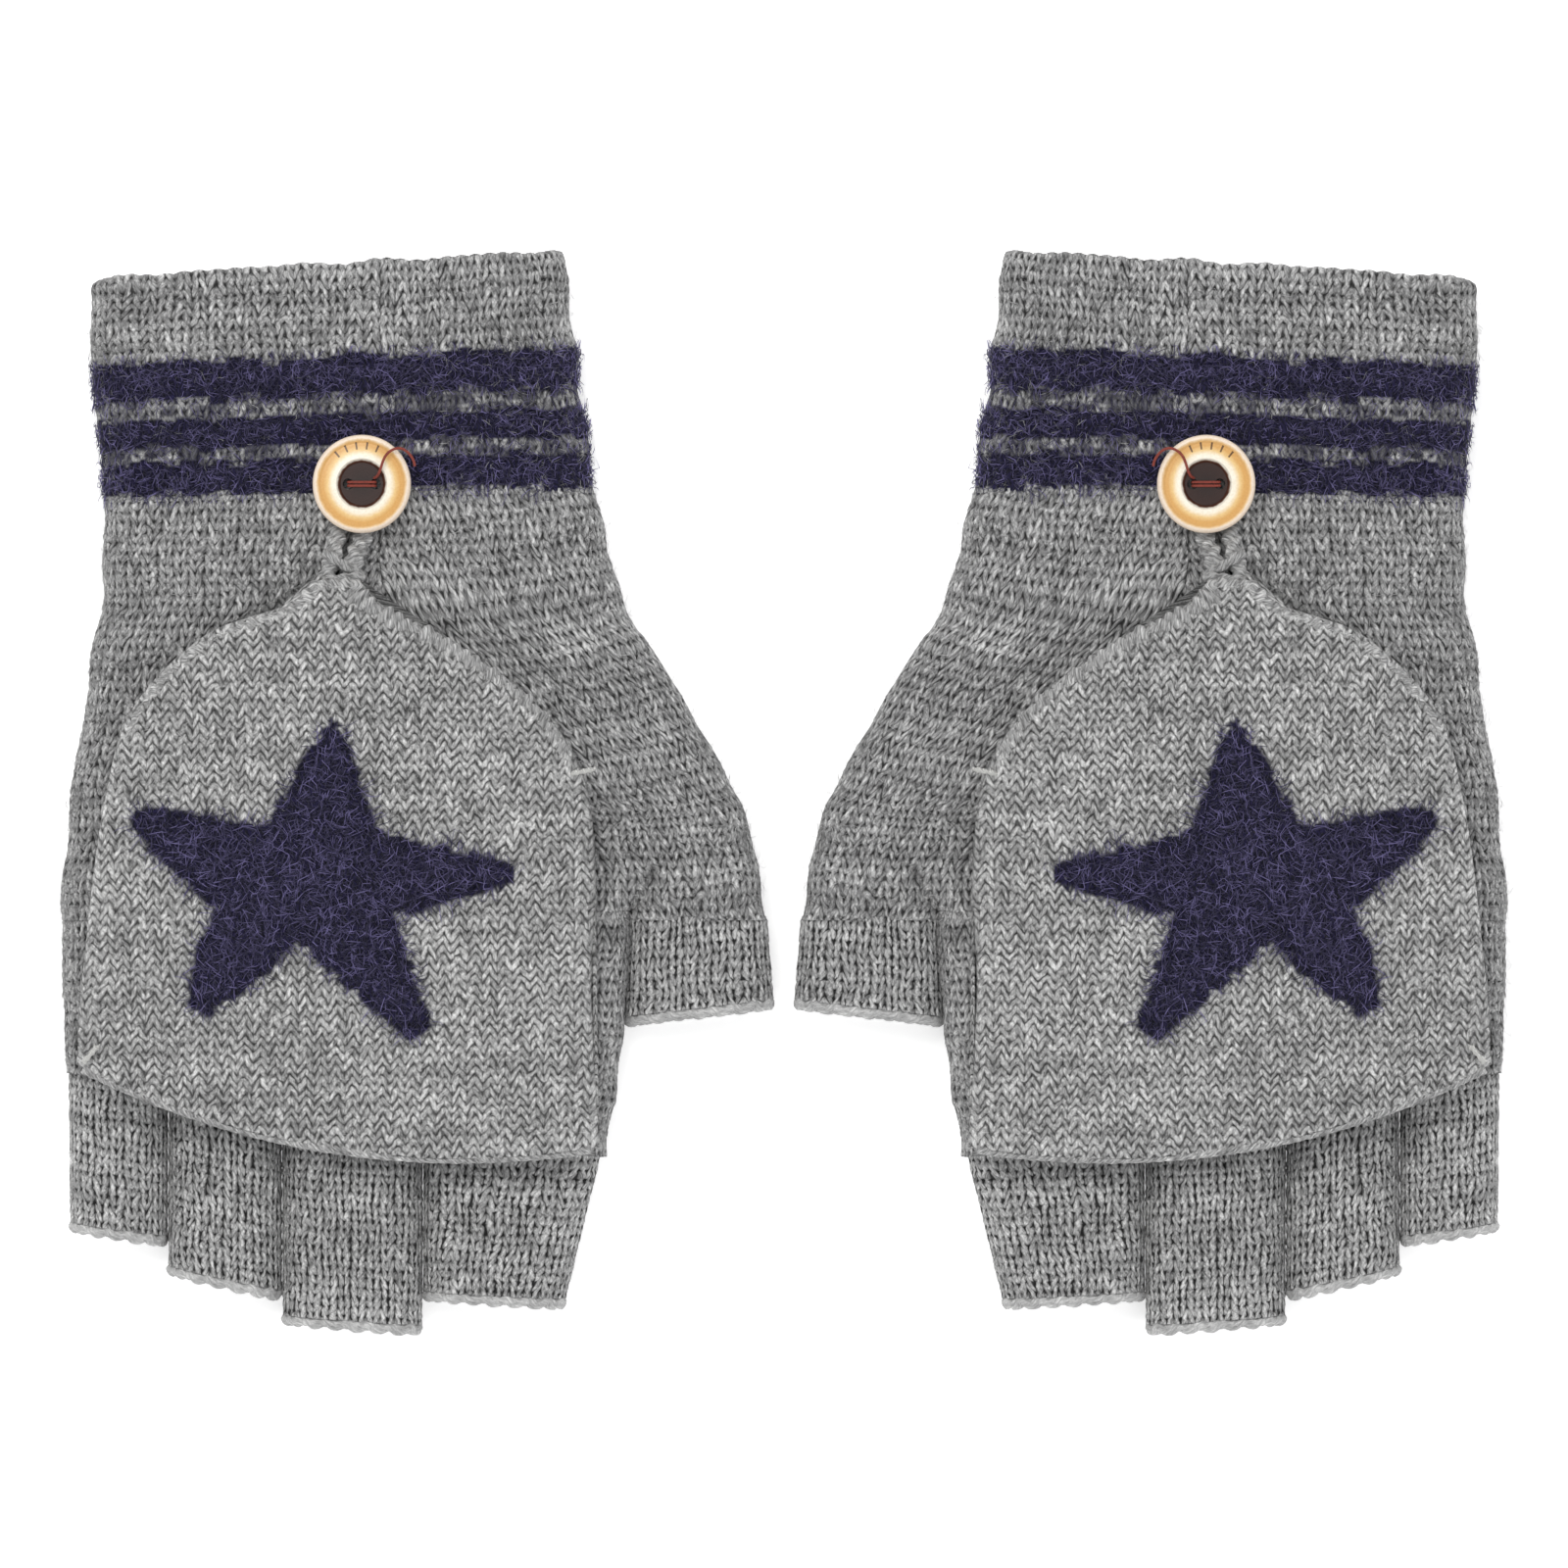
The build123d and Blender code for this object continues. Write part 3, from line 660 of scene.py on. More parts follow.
def handOutline(y, part):
    left = -eased(y, hand["y"], hand["left"])
    if part == "knuckle":
        right = eased(y, (-60, -43, -22.4, 0), (50.2, 50.4, 53.6, hand["knuckleRight"]))
    else:
        right = eased(y, hand["y"][2:], hand["right"][2:])
    return left, right


# how far the rounded side reaches in. It tightens towards the thumb sleeve
def sideReach(y, family, part):
    reach = np.full(np.shape(y), hand["sideReach"])
    if part == "palm" and family == "right":
        reach = reach - (hand["sideReach"] - sleeves["reach"]) * smoothStep(1 - y / 16.0)
    return reach


# height share of a quarter round, from 0 at its foot to 1 at its crest
def rounded(share):
    return np.sqrt(np.clip(1 - (1 - np.clip(share, 0, 1))**2, 0, 1))


# where the thumb goes under the side of the hand
def thumbFold(y):
    return np.interp(y, (0.0, 2.7, 9.0, 15.6, 20.0), (54.5, 55.6, 59.3, 65.0, 68.5))


# height of the fabric's outer face over the table
def topHeight(x, y, right, part):
    heights = (hand["height"], hand["height"], hand["cuffHeight"], hand["cuffHeight"])
    high = eased(y, (0, 57.5, 77.5, cuff["bandsEnd"]), heights)
    z = crown(x, high)
    if part == "palm":
        shoulder = np.minimum(right - 8.0, 46.4)
        out = np.clip((x - shoulder) / np.maximum(right - 7.0 - shoulder, 1.0), 0, 1)
        low = np.minimum(hand["thumbHeight"], crown(shoulder, high))
        z = np.where(x > shoulder, crown(shoulder, high) * (1 - out) + low * out, z)
        fold = thumbFold(y)
        share = smoothStep(1 - y / 20.0)
        side = hand["thumbHeight"] - sleeves["rise"]
        sleeve = side / 2 * (1 + rounded((x - fold) / sleeves["reach"]))
        sleeve = sleeve + sleeves["rise"] * np.sin(np.clip((x - fold) / (right - fold), 0, 1) * math.pi)
        z = np.where(x > fold, z * (1 - share) + sleeve * share, z)
        knuckle = crown(x, high) / 2 * (1 + rounded((fold - x) / hand["sideReach"]))
        z = np.where(x <= fold, z * (1 - share) + knuckle * share, z)
    return z


# Place, outward direction and lean of points on the hand's tube.
# columns count wales from the little finger's side, or from the thumb's for the other family.
def handSurface(columns, rows, family, underneath, part, limit=None, inner=0.0, count=None):
    y = rows.copy()
    left, right = handOutline(y, part)
    left = left + 0.35 * wander(y * 0, y, 15.0, 51)
    right = right + 0.35 * wander(y * 0, y, 13.0, 52)
    meet = eased(y, hand["meetY"], hand["meet"])
    base, sign = (left, 1.0) if family == "left" else (right, -1.0)
    reach = sideReach(y, family, part)
    sideTop = topHeight(base + sign * reach, y, right, part)
    arc = math.pi / 4 * (reach + sideTop / 2)
    span = np.abs(meet - base) - reach + arc
    if count:  # a fixed number of wales fills the span
        distance = columns / count * span
    else:  # wales keep their width, and new ones start where the two sides meet
        distance = np.minimum(columns * knit["wale"], span)
    onArc = distance < arc
    angle = np.clip(distance / arc, 0, 1) * math.pi / 2
    x = base + sign * np.where(onArc, reach * (1 - np.cos(angle)), reach + distance - arc)
    top = np.where(onArc, sideTop, topHeight(x, y, right, part))
    half = top / 2
    up = np.where(onArc, np.sin(angle), 1.0)
    nx = np.where(onArc, -sign * np.cos(angle), 0.0)
    z = half + half * up if not underneath else half - half * up
    nz = up if not underneath else -up
    x = x - nx * inner
    z = z - nz * inner
    if limit is not None:
        y = limit(x, y)
    slant = eased(y, hand["slantY"], hand["slant"]) if part != "knuckle" else 0.0
    y = y + slant * (x - (left + right) / 2) / (right - left)
    return x, y, z, nx, nz


# how much earlier a course comes where the wales lean with the thumb's outline
def courseLean(x, y, family, part):
    if part != "palm" or family != "right":
        return np.zeros(len(x))
    before, after = handOutline(y - 1.0, part)[1], handOutline(y + 1.0, part)[1]
    slope = (before - after) / 2.0
    slope = slope / np.sqrt(1 + slope**2)
    far = 22.0
    within = np.clip(handOutline(y, part)[1] - x, 0, None)
    return 0.6 * slope * far * (1 - np.exp(-within / far)) / knit["course"]


def loosen(u, v, x, y):
    # stitches that sit a little off their places, as hand-guided yarn does
    return u + 0.09 * wander(x, y, 9.0, 41), v + 0.16 * wander(x, y, 7.0, 42)


# a tube of knit: the stitches outside, a plain lining inside, closed at both ends
def tubeGrid(name, part, wales, courses, yOfCourse, limit=None, pileMask=None, innerRows=8, fitted=False,
             roundedEnd=False, tucked=False):
    leftWales, rightWales = wales
    fine, coarse = knit["across"], knit["acrossCoarse"]
    topLeft = marks(0, leftWales, fine)
    topRight = marks(0, rightWales, fine)[::-1]
    underRight = marks(0, rightWales, coarse)
    underLeft = marks(0, leftWales, coarse)[::-1]
    columns = np.concatenate([topLeft, topRight, underRight, underLeft])
    sides = np.concatenate([np.full(len(topLeft), 0), np.full(len(topRight), 1),
                            np.full(len(underRight), 2), np.full(len(underLeft), 3)])
    outer = rowMarks(0, courses, knit["rows"])
    ends = np.linspace(courses, 0, innerRows + 1)
    rows = np.concatenate([outer, ends, outer[:1]])
    isInner = np.concatenate([np.zeros(len(outer)), np.ones(len(ends)), np.zeros(1)])
    piece, i, j = newGrid(name, columns, rows)
    u, v, side, within = columns[i], rows[j], sides[i], isInner[j] > 0
    place = np.zeros((3, len(u)))
    hollow = np.ones(len(u))
    mask = np.zeros(len(u))
    mapU, mapV = np.zeros(len(u)), np.zeros(len(u))
    y = yOfCourse(v)
    closing = np.zeros(len(u))
    if roundedEnd:  # the turned edge at the wrist rounds in, and its loops leave it uneven
        left = np.clip(yOfCourse(courses) - y, 0, 1.6)
        closing = 1.6 - np.sqrt(1.6**2 - (1.6 - left)**2)
    if tucked:  # this end goes just inside the next tube
        closing = 0.28 * smoothStep((y + 1.2) / 0.6)
    for k in range(4):
        pick = side == k
        family = "left" if k in (0, 3) else "right"
        underneath = k >= 2
        count = (leftWales if family == "left" else rightWales) if fitted else None
        inner = np.where(within[pick], np.maximum(knit["layer"], closing[pick]), closing[pick])
        x, yy, z, nx, nz = handSurface(u[pick], y[pick], family, underneath, part, limit, inner, count)
        wale = u[pick] if family == "left" else leftWales + rightWales - u[pick]
        wale = wale + (1000 if underneath else 0)
        wale, course = loosen(wale, v[pick] + courseLean(x, y[pick], family, part), x, yy)
        if roundedEnd:
            # the turned welt shows its stitches the other way up
            course = cuff["weltCourse"] - np.abs(course - cuff["weltCourse"])
            loops = 0.45 * wander(x, x * 0, 11.0, 44) + 0.35 * np.abs(np.sin(wale * math.pi))
            yy = yy + loops * smoothStep(1 - (yOfCourse(courses) - y[pick]) / 5.0)
        h = stitchHeight(wale, course)
        if pileMask is not None:
            m = pileMask(x, yy, wale, course)
            fuzz = 0.65 + 0.3 * wander(x, yy, 2.1, 3) + 0.35 * wander(x, yy, 1.2, 4)
            brushedShare = np.clip((m - 0.75) * 4, 0, 1)
            h = h * (1 - brushedShare) + fuzz * brushedShare * 1.25
            mask[pick] = np.where(within[pick], 0, m)
        h = np.where(within[pick], 0.0, h)
        lift = knit["relief"] * (h - 0.75)
        if underneath:
            lift = knit["relief"] * (h - 1.0) * 0.8
        lift = np.where(u[pick] == 0, 0.0, lift)  # both sides of the tube meet here
        soft = (0.3 * wander(x, yy, 19.0, 1) + 0.16 * wander(x, yy * 0.12, 7.0, 2)) * (0 if underneath else 1)
        place[0, pick] = x + nx * lift
        place[1, pick] = yy
        place[2, pick] = np.maximum(z + nz * (lift + soft), 0.02)
        # painted shade: low stitches darker, the inner lining at a set middle level
        hollow[pick] = np.where(within[pick], 0.5, h)
        mapU[pick], mapV[pick] = wale, course
    setSurface(piece, place, (mapU, mapV), hollow, mask)
    return closeUp(piece)


hingeX, hingeY = -46.8, -27.1
hingeRun = np.array([0.98758755, -0.15706954])
toCuff = np.array([0.15706954, 0.98758755])
hingeStart = np.array([hingeX, hingeY]) - toCuff * 4.5


# y at x on the line parallel to the hood's fold
def lineY(x, fromHinge):
    start = hingeStart + toCuff * fromHinge
    return start[1] + (x - start[0]) * hingeRun[1] / hingeRun[0]


def makePalm():
    piece = tubeGrid("rightPalmKnit", "palm", (34, 25), 40, lambda v: -0.8 + v * 1.9675)
    keep(piece, "hands", ["palm_body"], "grey_knit", greyKnit)


def knuckleLimit(x, y):
    return np.maximum(y, lineY(x, 2.4))


def makeKnuckle():
    piece = tubeGrid("rightKnuckleKnit", "knuckle", (34, 6), 23, lambda v: -44.4 + v * 1.965, knuckleLimit,
                     tucked=True)
    keep(piece, "hands", ["knuckle_body"], "grey_knit", greyKnit)


makePalm()
makeKnuckle()
# 1 where the brushed navy yarn is, with ragged borders one stitch deep
def bandMask(x, y, wale, v):
    slant = 3.5 - (cuff["bandsEnd"] - y) / cuff["bandsLong"] * 1.5
    share = (cuff["bandsEnd"] - (y - slant * x / 90.0)) / cuff["bandsLong"]
    column = np.floor(wale)
    rag = (chance(column, np.floor(v), 11) - 0.5) * 0.06
    rag = rag + (chance(column * 3, np.floor(v * 2), 12) - 0.5) * 0.03
    mask = np.zeros_like(x)
    for low, high in cuff["bands"]:
        inside = (share + rag > low) & (share + rag < high)
        mask = np.where(inside, 1.0, mask)
    between = (share > 0.2) & (share < 0.8)
    crossing = between & (chance(column, np.floor(v), 13) > 0.5)
    mask = np.where(crossing, np.maximum(mask, 0.7), mask)
    tinged = between & (mask < 0.1)
    mask = np.where(tinged, 0.45 * chance(column * 2 + (wale - column > 0.5), np.floor(v), 14), mask)
    return mask


# the welt's stitches are taller than the striped part's
def cuffCourse(v):
    return np.interp(v, (0, cuff["weltCourse"], cuff["courses"]), (77.0, 102.4, 119.9))


def makeCuff():
    piece = tubeGrid("rightCuffKnit", "palm", (18, 14), cuff["courses"], cuffCourse, None, bandMask,
                     fitted=True, roundedEnd=True)
    keep(piece, "hands", ["striped_cuff", "cuff_welt"], "grey_knit", greyKnit)


makeCuff()


# Finger and thumb sleeves
# point and outward direction round a sleeve's section, t from 0 at its left side over the top and back
def sleeveRing(t, width, height):
    reach, side = sleeves["reach"], height - sleeves["rise"]
    arc = math.pi / 2 * (reach + side / 2) / 2
    flat = width - 2 * reach
    whole = 2 * (2 * arc + flat)
    d = np.mod(t, 1.0) * whole
    under = d > whole / 2
    d = np.where(under, whole - d, d)
    angle = np.clip(d / arc, 0, 1) * math.pi / 2
    angleBack = np.clip((2 * arc + flat - d) / arc, 0, 1) * math.pi / 2
    x = np.where(d < arc, reach * (1 - np.cos(angle)),
                 np.where(d > arc + flat, width - reach * (1 - np.cos(angleBack)), reach + d - arc))
    up = np.minimum(np.sin(angle), np.sin(angleBack))
    nx = np.where(d < arc, -np.cos(angle), np.where(d > arc + flat, np.cos(angleBack), 0.0))
    bulge = sleeves["rise"] * np.sin(np.clip(x / width, 0, 1) * math.pi) * (up > 0)
    z = np.where(under, side / 2 * (1 - up), side / 2 * (1 + up) + bulge * up)
    nz = np.where(under, -up, up)
    return x, z, nx, nz


def makeSleeve(name, values, rootLine, height, isThumb=False):
    rootX, tipX, tipY = values["root"], values["tip"], values["tipY"]
    width = tipX[1] - tipX[0]
    whole = 2 * (width + sleeves["sides"])
    waleWide = knit["wale"] if isThumb else sleeves["wale"]
    courseTall = sleeves["thumbCourse"] if isThumb else sleeves["course"]
    topWales = int(round(whole / 2 / waleWide))
    over = marks(0, topWales, knit["across"])
    back = marks(topWales, 2 * topWales, knit["acrossCoarse"])[1:]
    columns = np.concatenate([over, back])
    longest = rootLine((tipX[0] + tipX[1]) / 2) - (tipY[0] + tipY[1]) / 2
    longest = max(longest, rootLine(tipX[0]) - tipY[0])
    courses = int(math.ceil(longest / courseTall)) + 1
    outer = rowMarks(0, courses, knit["rows"])
    inner = np.linspace(courses, 0, sleeves["liningRows"])
    rows = np.concatenate([outer, inner, outer[:1]])
    within = np.concatenate([np.zeros(len(outer)), np.ones(len(inner)), np.zeros(1)])
    piece, i, j = newGrid("right" + name.capitalize() + "Sleeve", columns, rows)
    u, v, isInner = columns[i], rows[j], within[j] > 0
    share = np.clip(v * courseTall / longest, 0, 1)
    leftX = tipX[0] + (rootX[0] - tipX[0]) * share
    rightX = tipX[1] + (rootX[1] - tipX[1]) * share
    x, z, nx, nz = sleeveRing(u / (2 * topWales), rightX - leftX, height)
    x = x + leftX
    across = (x - leftX) / (rightX - leftX)
    y = tipY[0] + (tipY[1] - tipY[0]) * across + v * courseTall
    y = np.minimum(y, rootLine(x))
    seed = ord(name[0])
    mapU, mapV = loosen(u + seed * 10, v, x, y)
    h = stitchHeight(mapU, mapV, sleeves["lean"])
    h = np.where(isInner, 0, h)
    lift = np.where(nz < -0.5, 0.45 * (h - 1.0), 0.66 * (h - 0.7))
    lift = np.where((i == 0) | (i == len(columns) - 1), 0.0, lift)  # the section closes here
    inset = np.where(isInner, knit["layer"], 0.0)
    soft = 0.25 * wander(x, y, 11.0, seed) * (nz > 0)
    x = x + nx * (lift - inset)
    z = z + nz * (lift - inset + soft)
    if isThumb:  # it starts inside the palm's end
        tuck = 0.28 * np.clip((y + 1.0) / 0.6, 0, 1)
        x, z = x - nx * tuck, z - nz * tuck
    # painted shade on low stitches and on the lining, through the hollow attribute
    setSurface(piece, (x, y, np.maximum(z, 0.02)), (mapU, mapV), np.where(isInner, 0.45, h))
    closeUp(piece)
    middle = (rootX[0] + rootX[1]) / 2
    start = (middle, rootLine(middle) - 0.2, 0)
    end = (middle, rootLine(middle) - 6.5, 0)
    keep(piece, name, [f"{name}_sleeve"], "grey_knit", sleeveKnit, (start, end))


for fingerName, values in sleeves["fingers"].items():
    makeSleeve(fingerName, values, lambda x: lineY(x, 3.1), hand["fingerHeight"])
makeSleeve("thumb", sleeves["thumb"], lambda x: x * 0 - 0.1, hand["thumbHeight"], True)


# Cords: a twisted or chained yarn along a path
# a twisted yarn along a path of points in mm. upward is what the section's second axis leans to
def twistedCord(name, path, radius, pitch, closed=False, strands=2, depth=0.3, around=12, perPitch=8,
                upward=None, squeeze=1.0, taper=None, wobble=0.0):
    path = np.array(path, float)
    if closed:
        path = np.vstack([path, path[:1]])
    step = np.r_[0, np.cumsum(np.linalg.norm(np.diff(path, axis=0), axis=1))]
    length = step[-1]
    count = max(8, int(round(length / pitch)) * perPitch)
    places = np.linspace(0, length, count + 1)
    line = np.stack([np.interp(places, step, path[:, k]) for k in range(3)], 1)
    if closed:
        tangent = np.roll(line[:-1], -1, 0) - np.roll(line[:-1], 1, 0)
        tangent = np.vstack([tangent, tangent[:1]])
    else:
        tangent = np.gradient(line, axis=0)
    tangent /= np.linalg.norm(tangent, axis=1)[:, None]
    lean = np.array(upward if upward is not None else (0, 0, 1.0))
    across = np.cross(tangent, lean)
    across /= np.linalg.norm(across, axis=1)[:, None]
    second = np.cross(across, tangent)
    angles = np.linspace(0, 2 * math.pi, around + 1)
    caps = 0 if closed else 3
    rows = np.arange(count + 1)
    rows = np.concatenate([np.zeros(caps), rows, np.full(caps, count)]).astype(int)
    shrink = np.ones(len(rows))
    if not closed:
        shrink[:3] = (0.0, 0.55, 0.87)
        shrink[-3:] = (0.87, 0.55, 0.0)
    piece, i, j = newGrid(name, angles, rows)
    a, row = angles[i], rows[j]
    s = places[row]
    turns = max(1, round(length / pitch)) / length if closed else 1 / pitch
    ridge = np.abs(np.cos(a * strands / 2 - math.pi * s * turns))
    r = radius * (1 - depth + depth * ridge) * shrink[j]
    if taper is not None:
        r = r * np.interp(s / length, *taper)
    beat = np.mod(s, length) if closed else s
    r = r * (1 + wobble * (chance(np.floor(beat / pitch * strands + 1e-6), 1, 21) - 0.5))
    co = line[row] + across[row] * (np.cos(a) * r)[:, None] + second[row] * (np.sin(a) * r * squeeze)[:, None]
    co[:, 2] = np.maximum(co[:, 2], 0.05)
    uvU = a / (2 * math.pi) * 3 + s * turns
    uvV = s / knit["course"]
    # painted shade between the strands, through the hollow attribute
    setSurface(piece, co.T, (uvU, uvV), 0.25 + 0.75 * ridge)
    return closeUp(piece, 0.002)


def sleeveEdge(name, values, height):
    tipX, tipY = values["tip"], values["tipY"]
    width = tipX[1] - tipX[0]
    t = np.linspace(0, 1, 72, endpoint=False)
    x, z, nx, nz = sleeveRing(t, width, height)
    across = x / width
    run = np.array([tipX[1] - tipX[0], tipY[1] - tipY[0]])
    away = np.array([run[1], -run[0]]) / np.linalg.norm(run)
    wave = 0.35 * np.sin(t * 2 * math.pi * round(2 * (width + 12) / 4.6))
    x, z = x - nx * 0.75, z - nz * 0.75
    px = tipX[0] + x + away[0] * (0.75 + wave)
    py = tipY[0] + (tipY[1] - tipY[0]) * across + away[1] * (0.75 + wave)
    z = np.maximum(z, 0.95)
    path = np.stack([px, py, z], 1)
    upward = (away[0], away[1], 0)
    piece = twistedCord("right" + name.capitalize() + "Edge", path, 1.1, 4.0, True, upward=upward, depth=0.34,
                        perPitch=10, around=10, wobble=0.16)
    keep(piece, name, [f"{name}_edge"], "pale_edge", paleYarn)


for fingerName, values in sleeves["fingers"].items():
    sleeveEdge(fingerName, values, hand["fingerHeight"])
sleeveEdge("thumb", sleeves["thumb"], hand["thumbHeight"])


# The hood, folded back
hood = {
    "low": 0.35,  # above the crown
    "depth": 8.4,
    "round": 4.6,  # radius of its folded sides
    "wale": 2.8,
    "course": 1.85,
    "lean": 0.38,
    "legWidth": 0.2,
    "firstY": -52.0,  # where its courses are counted from
    "tipY": 62.4,
    "leftSide": ((-46.8, -27.1), (-45.4, -10.0), (-42.0, 18.0), (-36.6, 37.5), (-23.5, 51.2), (-9.5, 56.6),
                 (-3.6, 60.2), (-2.6, 62.4)),
    "rightSide": ((49.4, -42.4), (47.8, -14.0), (48.6, 8.0), (46.2, 26.0), (37.0, 39.8), (20.5, 51.6),
                  (10.5, 56.4), (5.6, 60.0), (4.6, 62.4)),
    "belly": 7.8,
    "fabric": 1.5,
    "mouthDrop": 1.9,  # the upper layer comes down to the fingers at its mouth
    "dropReach": 11.0,
}


# a smooth line through points, by Catmull and Rom's rule
def smoothPath(points, count=160):
    p = np.array(points, float)
    p = np.vstack([2 * p[0] - p[1], p, 2 * p[-1] - p[-2]])
    spans = len(p) - 3
    out = []
    for t in np.linspace(0, spans - 1e-6, count):
        k = int(t)
        f = t - k
        a, b, c, d = p[k:k + 4]
        square, cube = 2 * a - 5 * b + 4 * c - d, 3 * b - a - 3 * c + d
        out.append(0.5 * (2 * b + (c - a) * f + square * f**2 + cube * f**3))
    return np.array(out)


hoodLeft = smoothPath(hood["leftSide"])
hoodRight = smoothPath(hood["rightSide"])
mouthEnds = np.array([(-46.8, -27.1), (49.4, -42.4)])


# the bowed edge of the hood's mouth, from the little finger's side to the thumb's
def mouthLine(count=120):
    t = np.linspace(0, 1, count)
    chord = mouthEnds[0] + (mouthEnds[1] - mouthEnds[0]) * t[:, None]
    bow = 4 * t * (1 - t) * hood["belly"]
    return chord - toCuff * bow[:, None]


mouthPath = mouthLine()


# distance from points to a line of close points
def distanceTo(x, y, line):
    best = np.full(len(x), 1e9)
    for k in range(0, len(line) - 1):
        a, b = line[k], line[k + 1]
        d = b - a
        size = d @ d
        if size < 1e-9:
            continue
        t = np.clip(((x - a[0]) * d[0] + (y - a[1]) * d[1]) / size, 0, 1)
        best = np.minimum(best, (x - a[0] - t * d[0])**2 + (y - a[1] - t * d[1])**2)
    return np.sqrt(best)


# tips and inner corners, going round from the tip nearest the wrist; each tip is a little blunt
starCorners = np.array([
    (0.0, 35.4), (2.2, 34.4), (5.6, 24.0), (9.0, 14.4), (21.0, 12.6), (33.4, 9.4), (33.6, 6.6), (23.0, 3.2),
    (12.0, 0.4), (15.0, -9.0), (18.0, -20.0), (14.6, -22.2), (4.0, -12.6), (-5.8, -4.2), (-13.6, -12.0),
    (-22.6, -17.9), (-25.4, -15.4), (-23.8, -7.0), (-20.6, 1.8), (-28.0, 8.4), (-36.6, 16.6), (-35.4, 19.4),
    (-23.0, 18.0), (-10.6, 16.6), (-5.8, 26.0),
])


# positive inside the star
def starDistance(x, y):
    corners = np.vstack([starCorners, starCorners[:1]])
    sides = len(starCorners)
    inside = np.zeros(len(x), bool)
    for k in range(sides):
        (x0, y0), (x1, y1) = corners[k], corners[k + 1]
        cross = (y0 > y) != (y1 > y)
        with np.errstate(divide="ignore", invalid="ignore"):
            at = (x1 - x0) * (y - y0) / (y1 - y0) + x0
        inside ^= cross & (x < at)
    dense = np.vstack([np.linspace(corners[k], corners[k + 1], 6)[:-1] for k in range(sides)] + [corners[:1]])
    return np.where(inside, 1, -1) * distanceTo(x, y, dense)


def starMask(x, y, wale, v):
    rag = (chance(np.floor(wale), np.floor(v), 31) - 0.5) * 1.5
    return np.clip((starDistance(x, y) + 0.5 + rag) / 0.7 + 0.5, 0, 1)


# one face of the hood. Its grid is aligned with the stitches and drawn in at the outline
def hoodSheet(name, columns, rows, outerFace, above, lineLow, inset=0.0):
    piece, i, j = newGrid(name, columns, rows)
    u, v = columns[i], rows[j]
    x = u * hood["wale"]
    y = np.minimum(hood["firstY"] + v * hood["course"], hood["tipY"])
    leftX = np.interp(y, hoodLeft[:, 1], hoodLeft[:, 0]) + inset
    rightX = np.interp(y, hoodRight[:, 1], hoodRight[:, 0]) - inset
    middle = (leftX + rightX) / 2
    x = np.clip(x, np.minimum(leftX, middle), np.maximum(rightX, middle))
    y = np.maximum(y, lineLow(x))
    outline = np.vstack([hoodLeft, hoodRight[::-1]])
    d = distanceTo(x, y, outline)
    d = np.where((x <= leftX + 1e-6) | (x >= rightX - 1e-6), 0, d) if inset == 0 else d
    r = hood["round"]
    full = np.sqrt(np.clip(1 - (1 - np.clip(d / r, 0, 1))**2, 0, 1))
    centre = crown(x, hand["height"]) + hood["low"] + hood["depth"] / 2
    puff = 0.35 * wander(x, y, 30.0, 8) * full
    halfDepth = hood["depth"] / 2 * full
    toTop = 1.0 if above else -1.0
    fromEdge = np.clip((y - lineLow(x)) / 1.4, 0, 1)  # both faces meet along the mouth
    mapU, mapV = loosen(u + 2000 + (0 if above else 500), 400 - v, x, y)
    mask = np.zeros(len(x))
    if outerFace:
        stitchesAt = stitchHeight(mapU, mapV, hood["lean"], hood["legWidth"])
        if above:
            near = (np.abs(x + 2.2) < 42) & (np.abs(y - 4.3) < 36)
            mask[near] = starMask(x[near], y[near], mapU[near], mapV[near])
            fuzz = 0.75 + 0.3 * wander(x, y, 2.1, 3) + 0.35 * wander(x, y, 1.2, 4)
            stitchesAt = stitchesAt * (1 - mask) + fuzz * mask * 1.25
        lift = knit["relief"] * (stitchesAt - 0.75) * np.clip(d / 0.8, 0, 1) * fromEdge
        z = centre + toTop * (halfDepth + lift) + puff
        # painted shade on low stitches, through the hollow attribute
        hollow = stitchesAt
    else:
        z = centre + toTop * np.maximum(halfDepth - hood["fabric"] * fromEdge, 0.0) + puff
        # painted shade on the inner faces, at a set middle level
        hollow = np.full(len(x), 0.5)
    if above:
        fromMouth = distanceTo(x, y, mouthPath)
        z = z - hood["mouthDrop"] * np.clip(1 - fromMouth / hood["dropReach"], 0, 1)**2
    setSurface(piece, (x, y, z), (mapU, mapV), hollow, mask)
    return piece


def mouthY(x):
    return np.interp(x, mouthPath[:, 0], mouthPath[:, 1])


def makeHood():
    columnsFine = marks(-18, 19, knit["across"])
    columnsCoarse = marks(-18, 19, knit["acrossCoarse"])
    rowsFine = rowMarks(0, 62, knit["rows"])
    rowsFew = np.linspace(0, 62, 20)
    top = hoodSheet("hoodTop", columnsFine, rowsFine, True, True, mouthY)
    topInside = hoodSheet("hoodTopInside", columnsFine, rowsFew, False, True, mouthY)
    under = hoodSheet("hoodUnder", columnsCoarse, rowsFine, True, False, lambda x: lineY(x, 7.0))
    underInside = hoodSheet("hoodUnderInside", columnsCoarse, rowsFew, False, False, lambda x: lineY(x, 7.0))
    upper = closeUp(joinAll([top, topInside], "rightHoodTop"), 0.01, True)
    lower = closeUp(joinAll([under, underInside], "rightHoodUnder"), 0.01, True)
    keep(upper, "hood", ["hood_top_layer", "hood_rim"], "grey_knit", hoodKnit)
    keep(lower, "hood", ["hood_under_layer"], "grey_knit", hoodKnit)


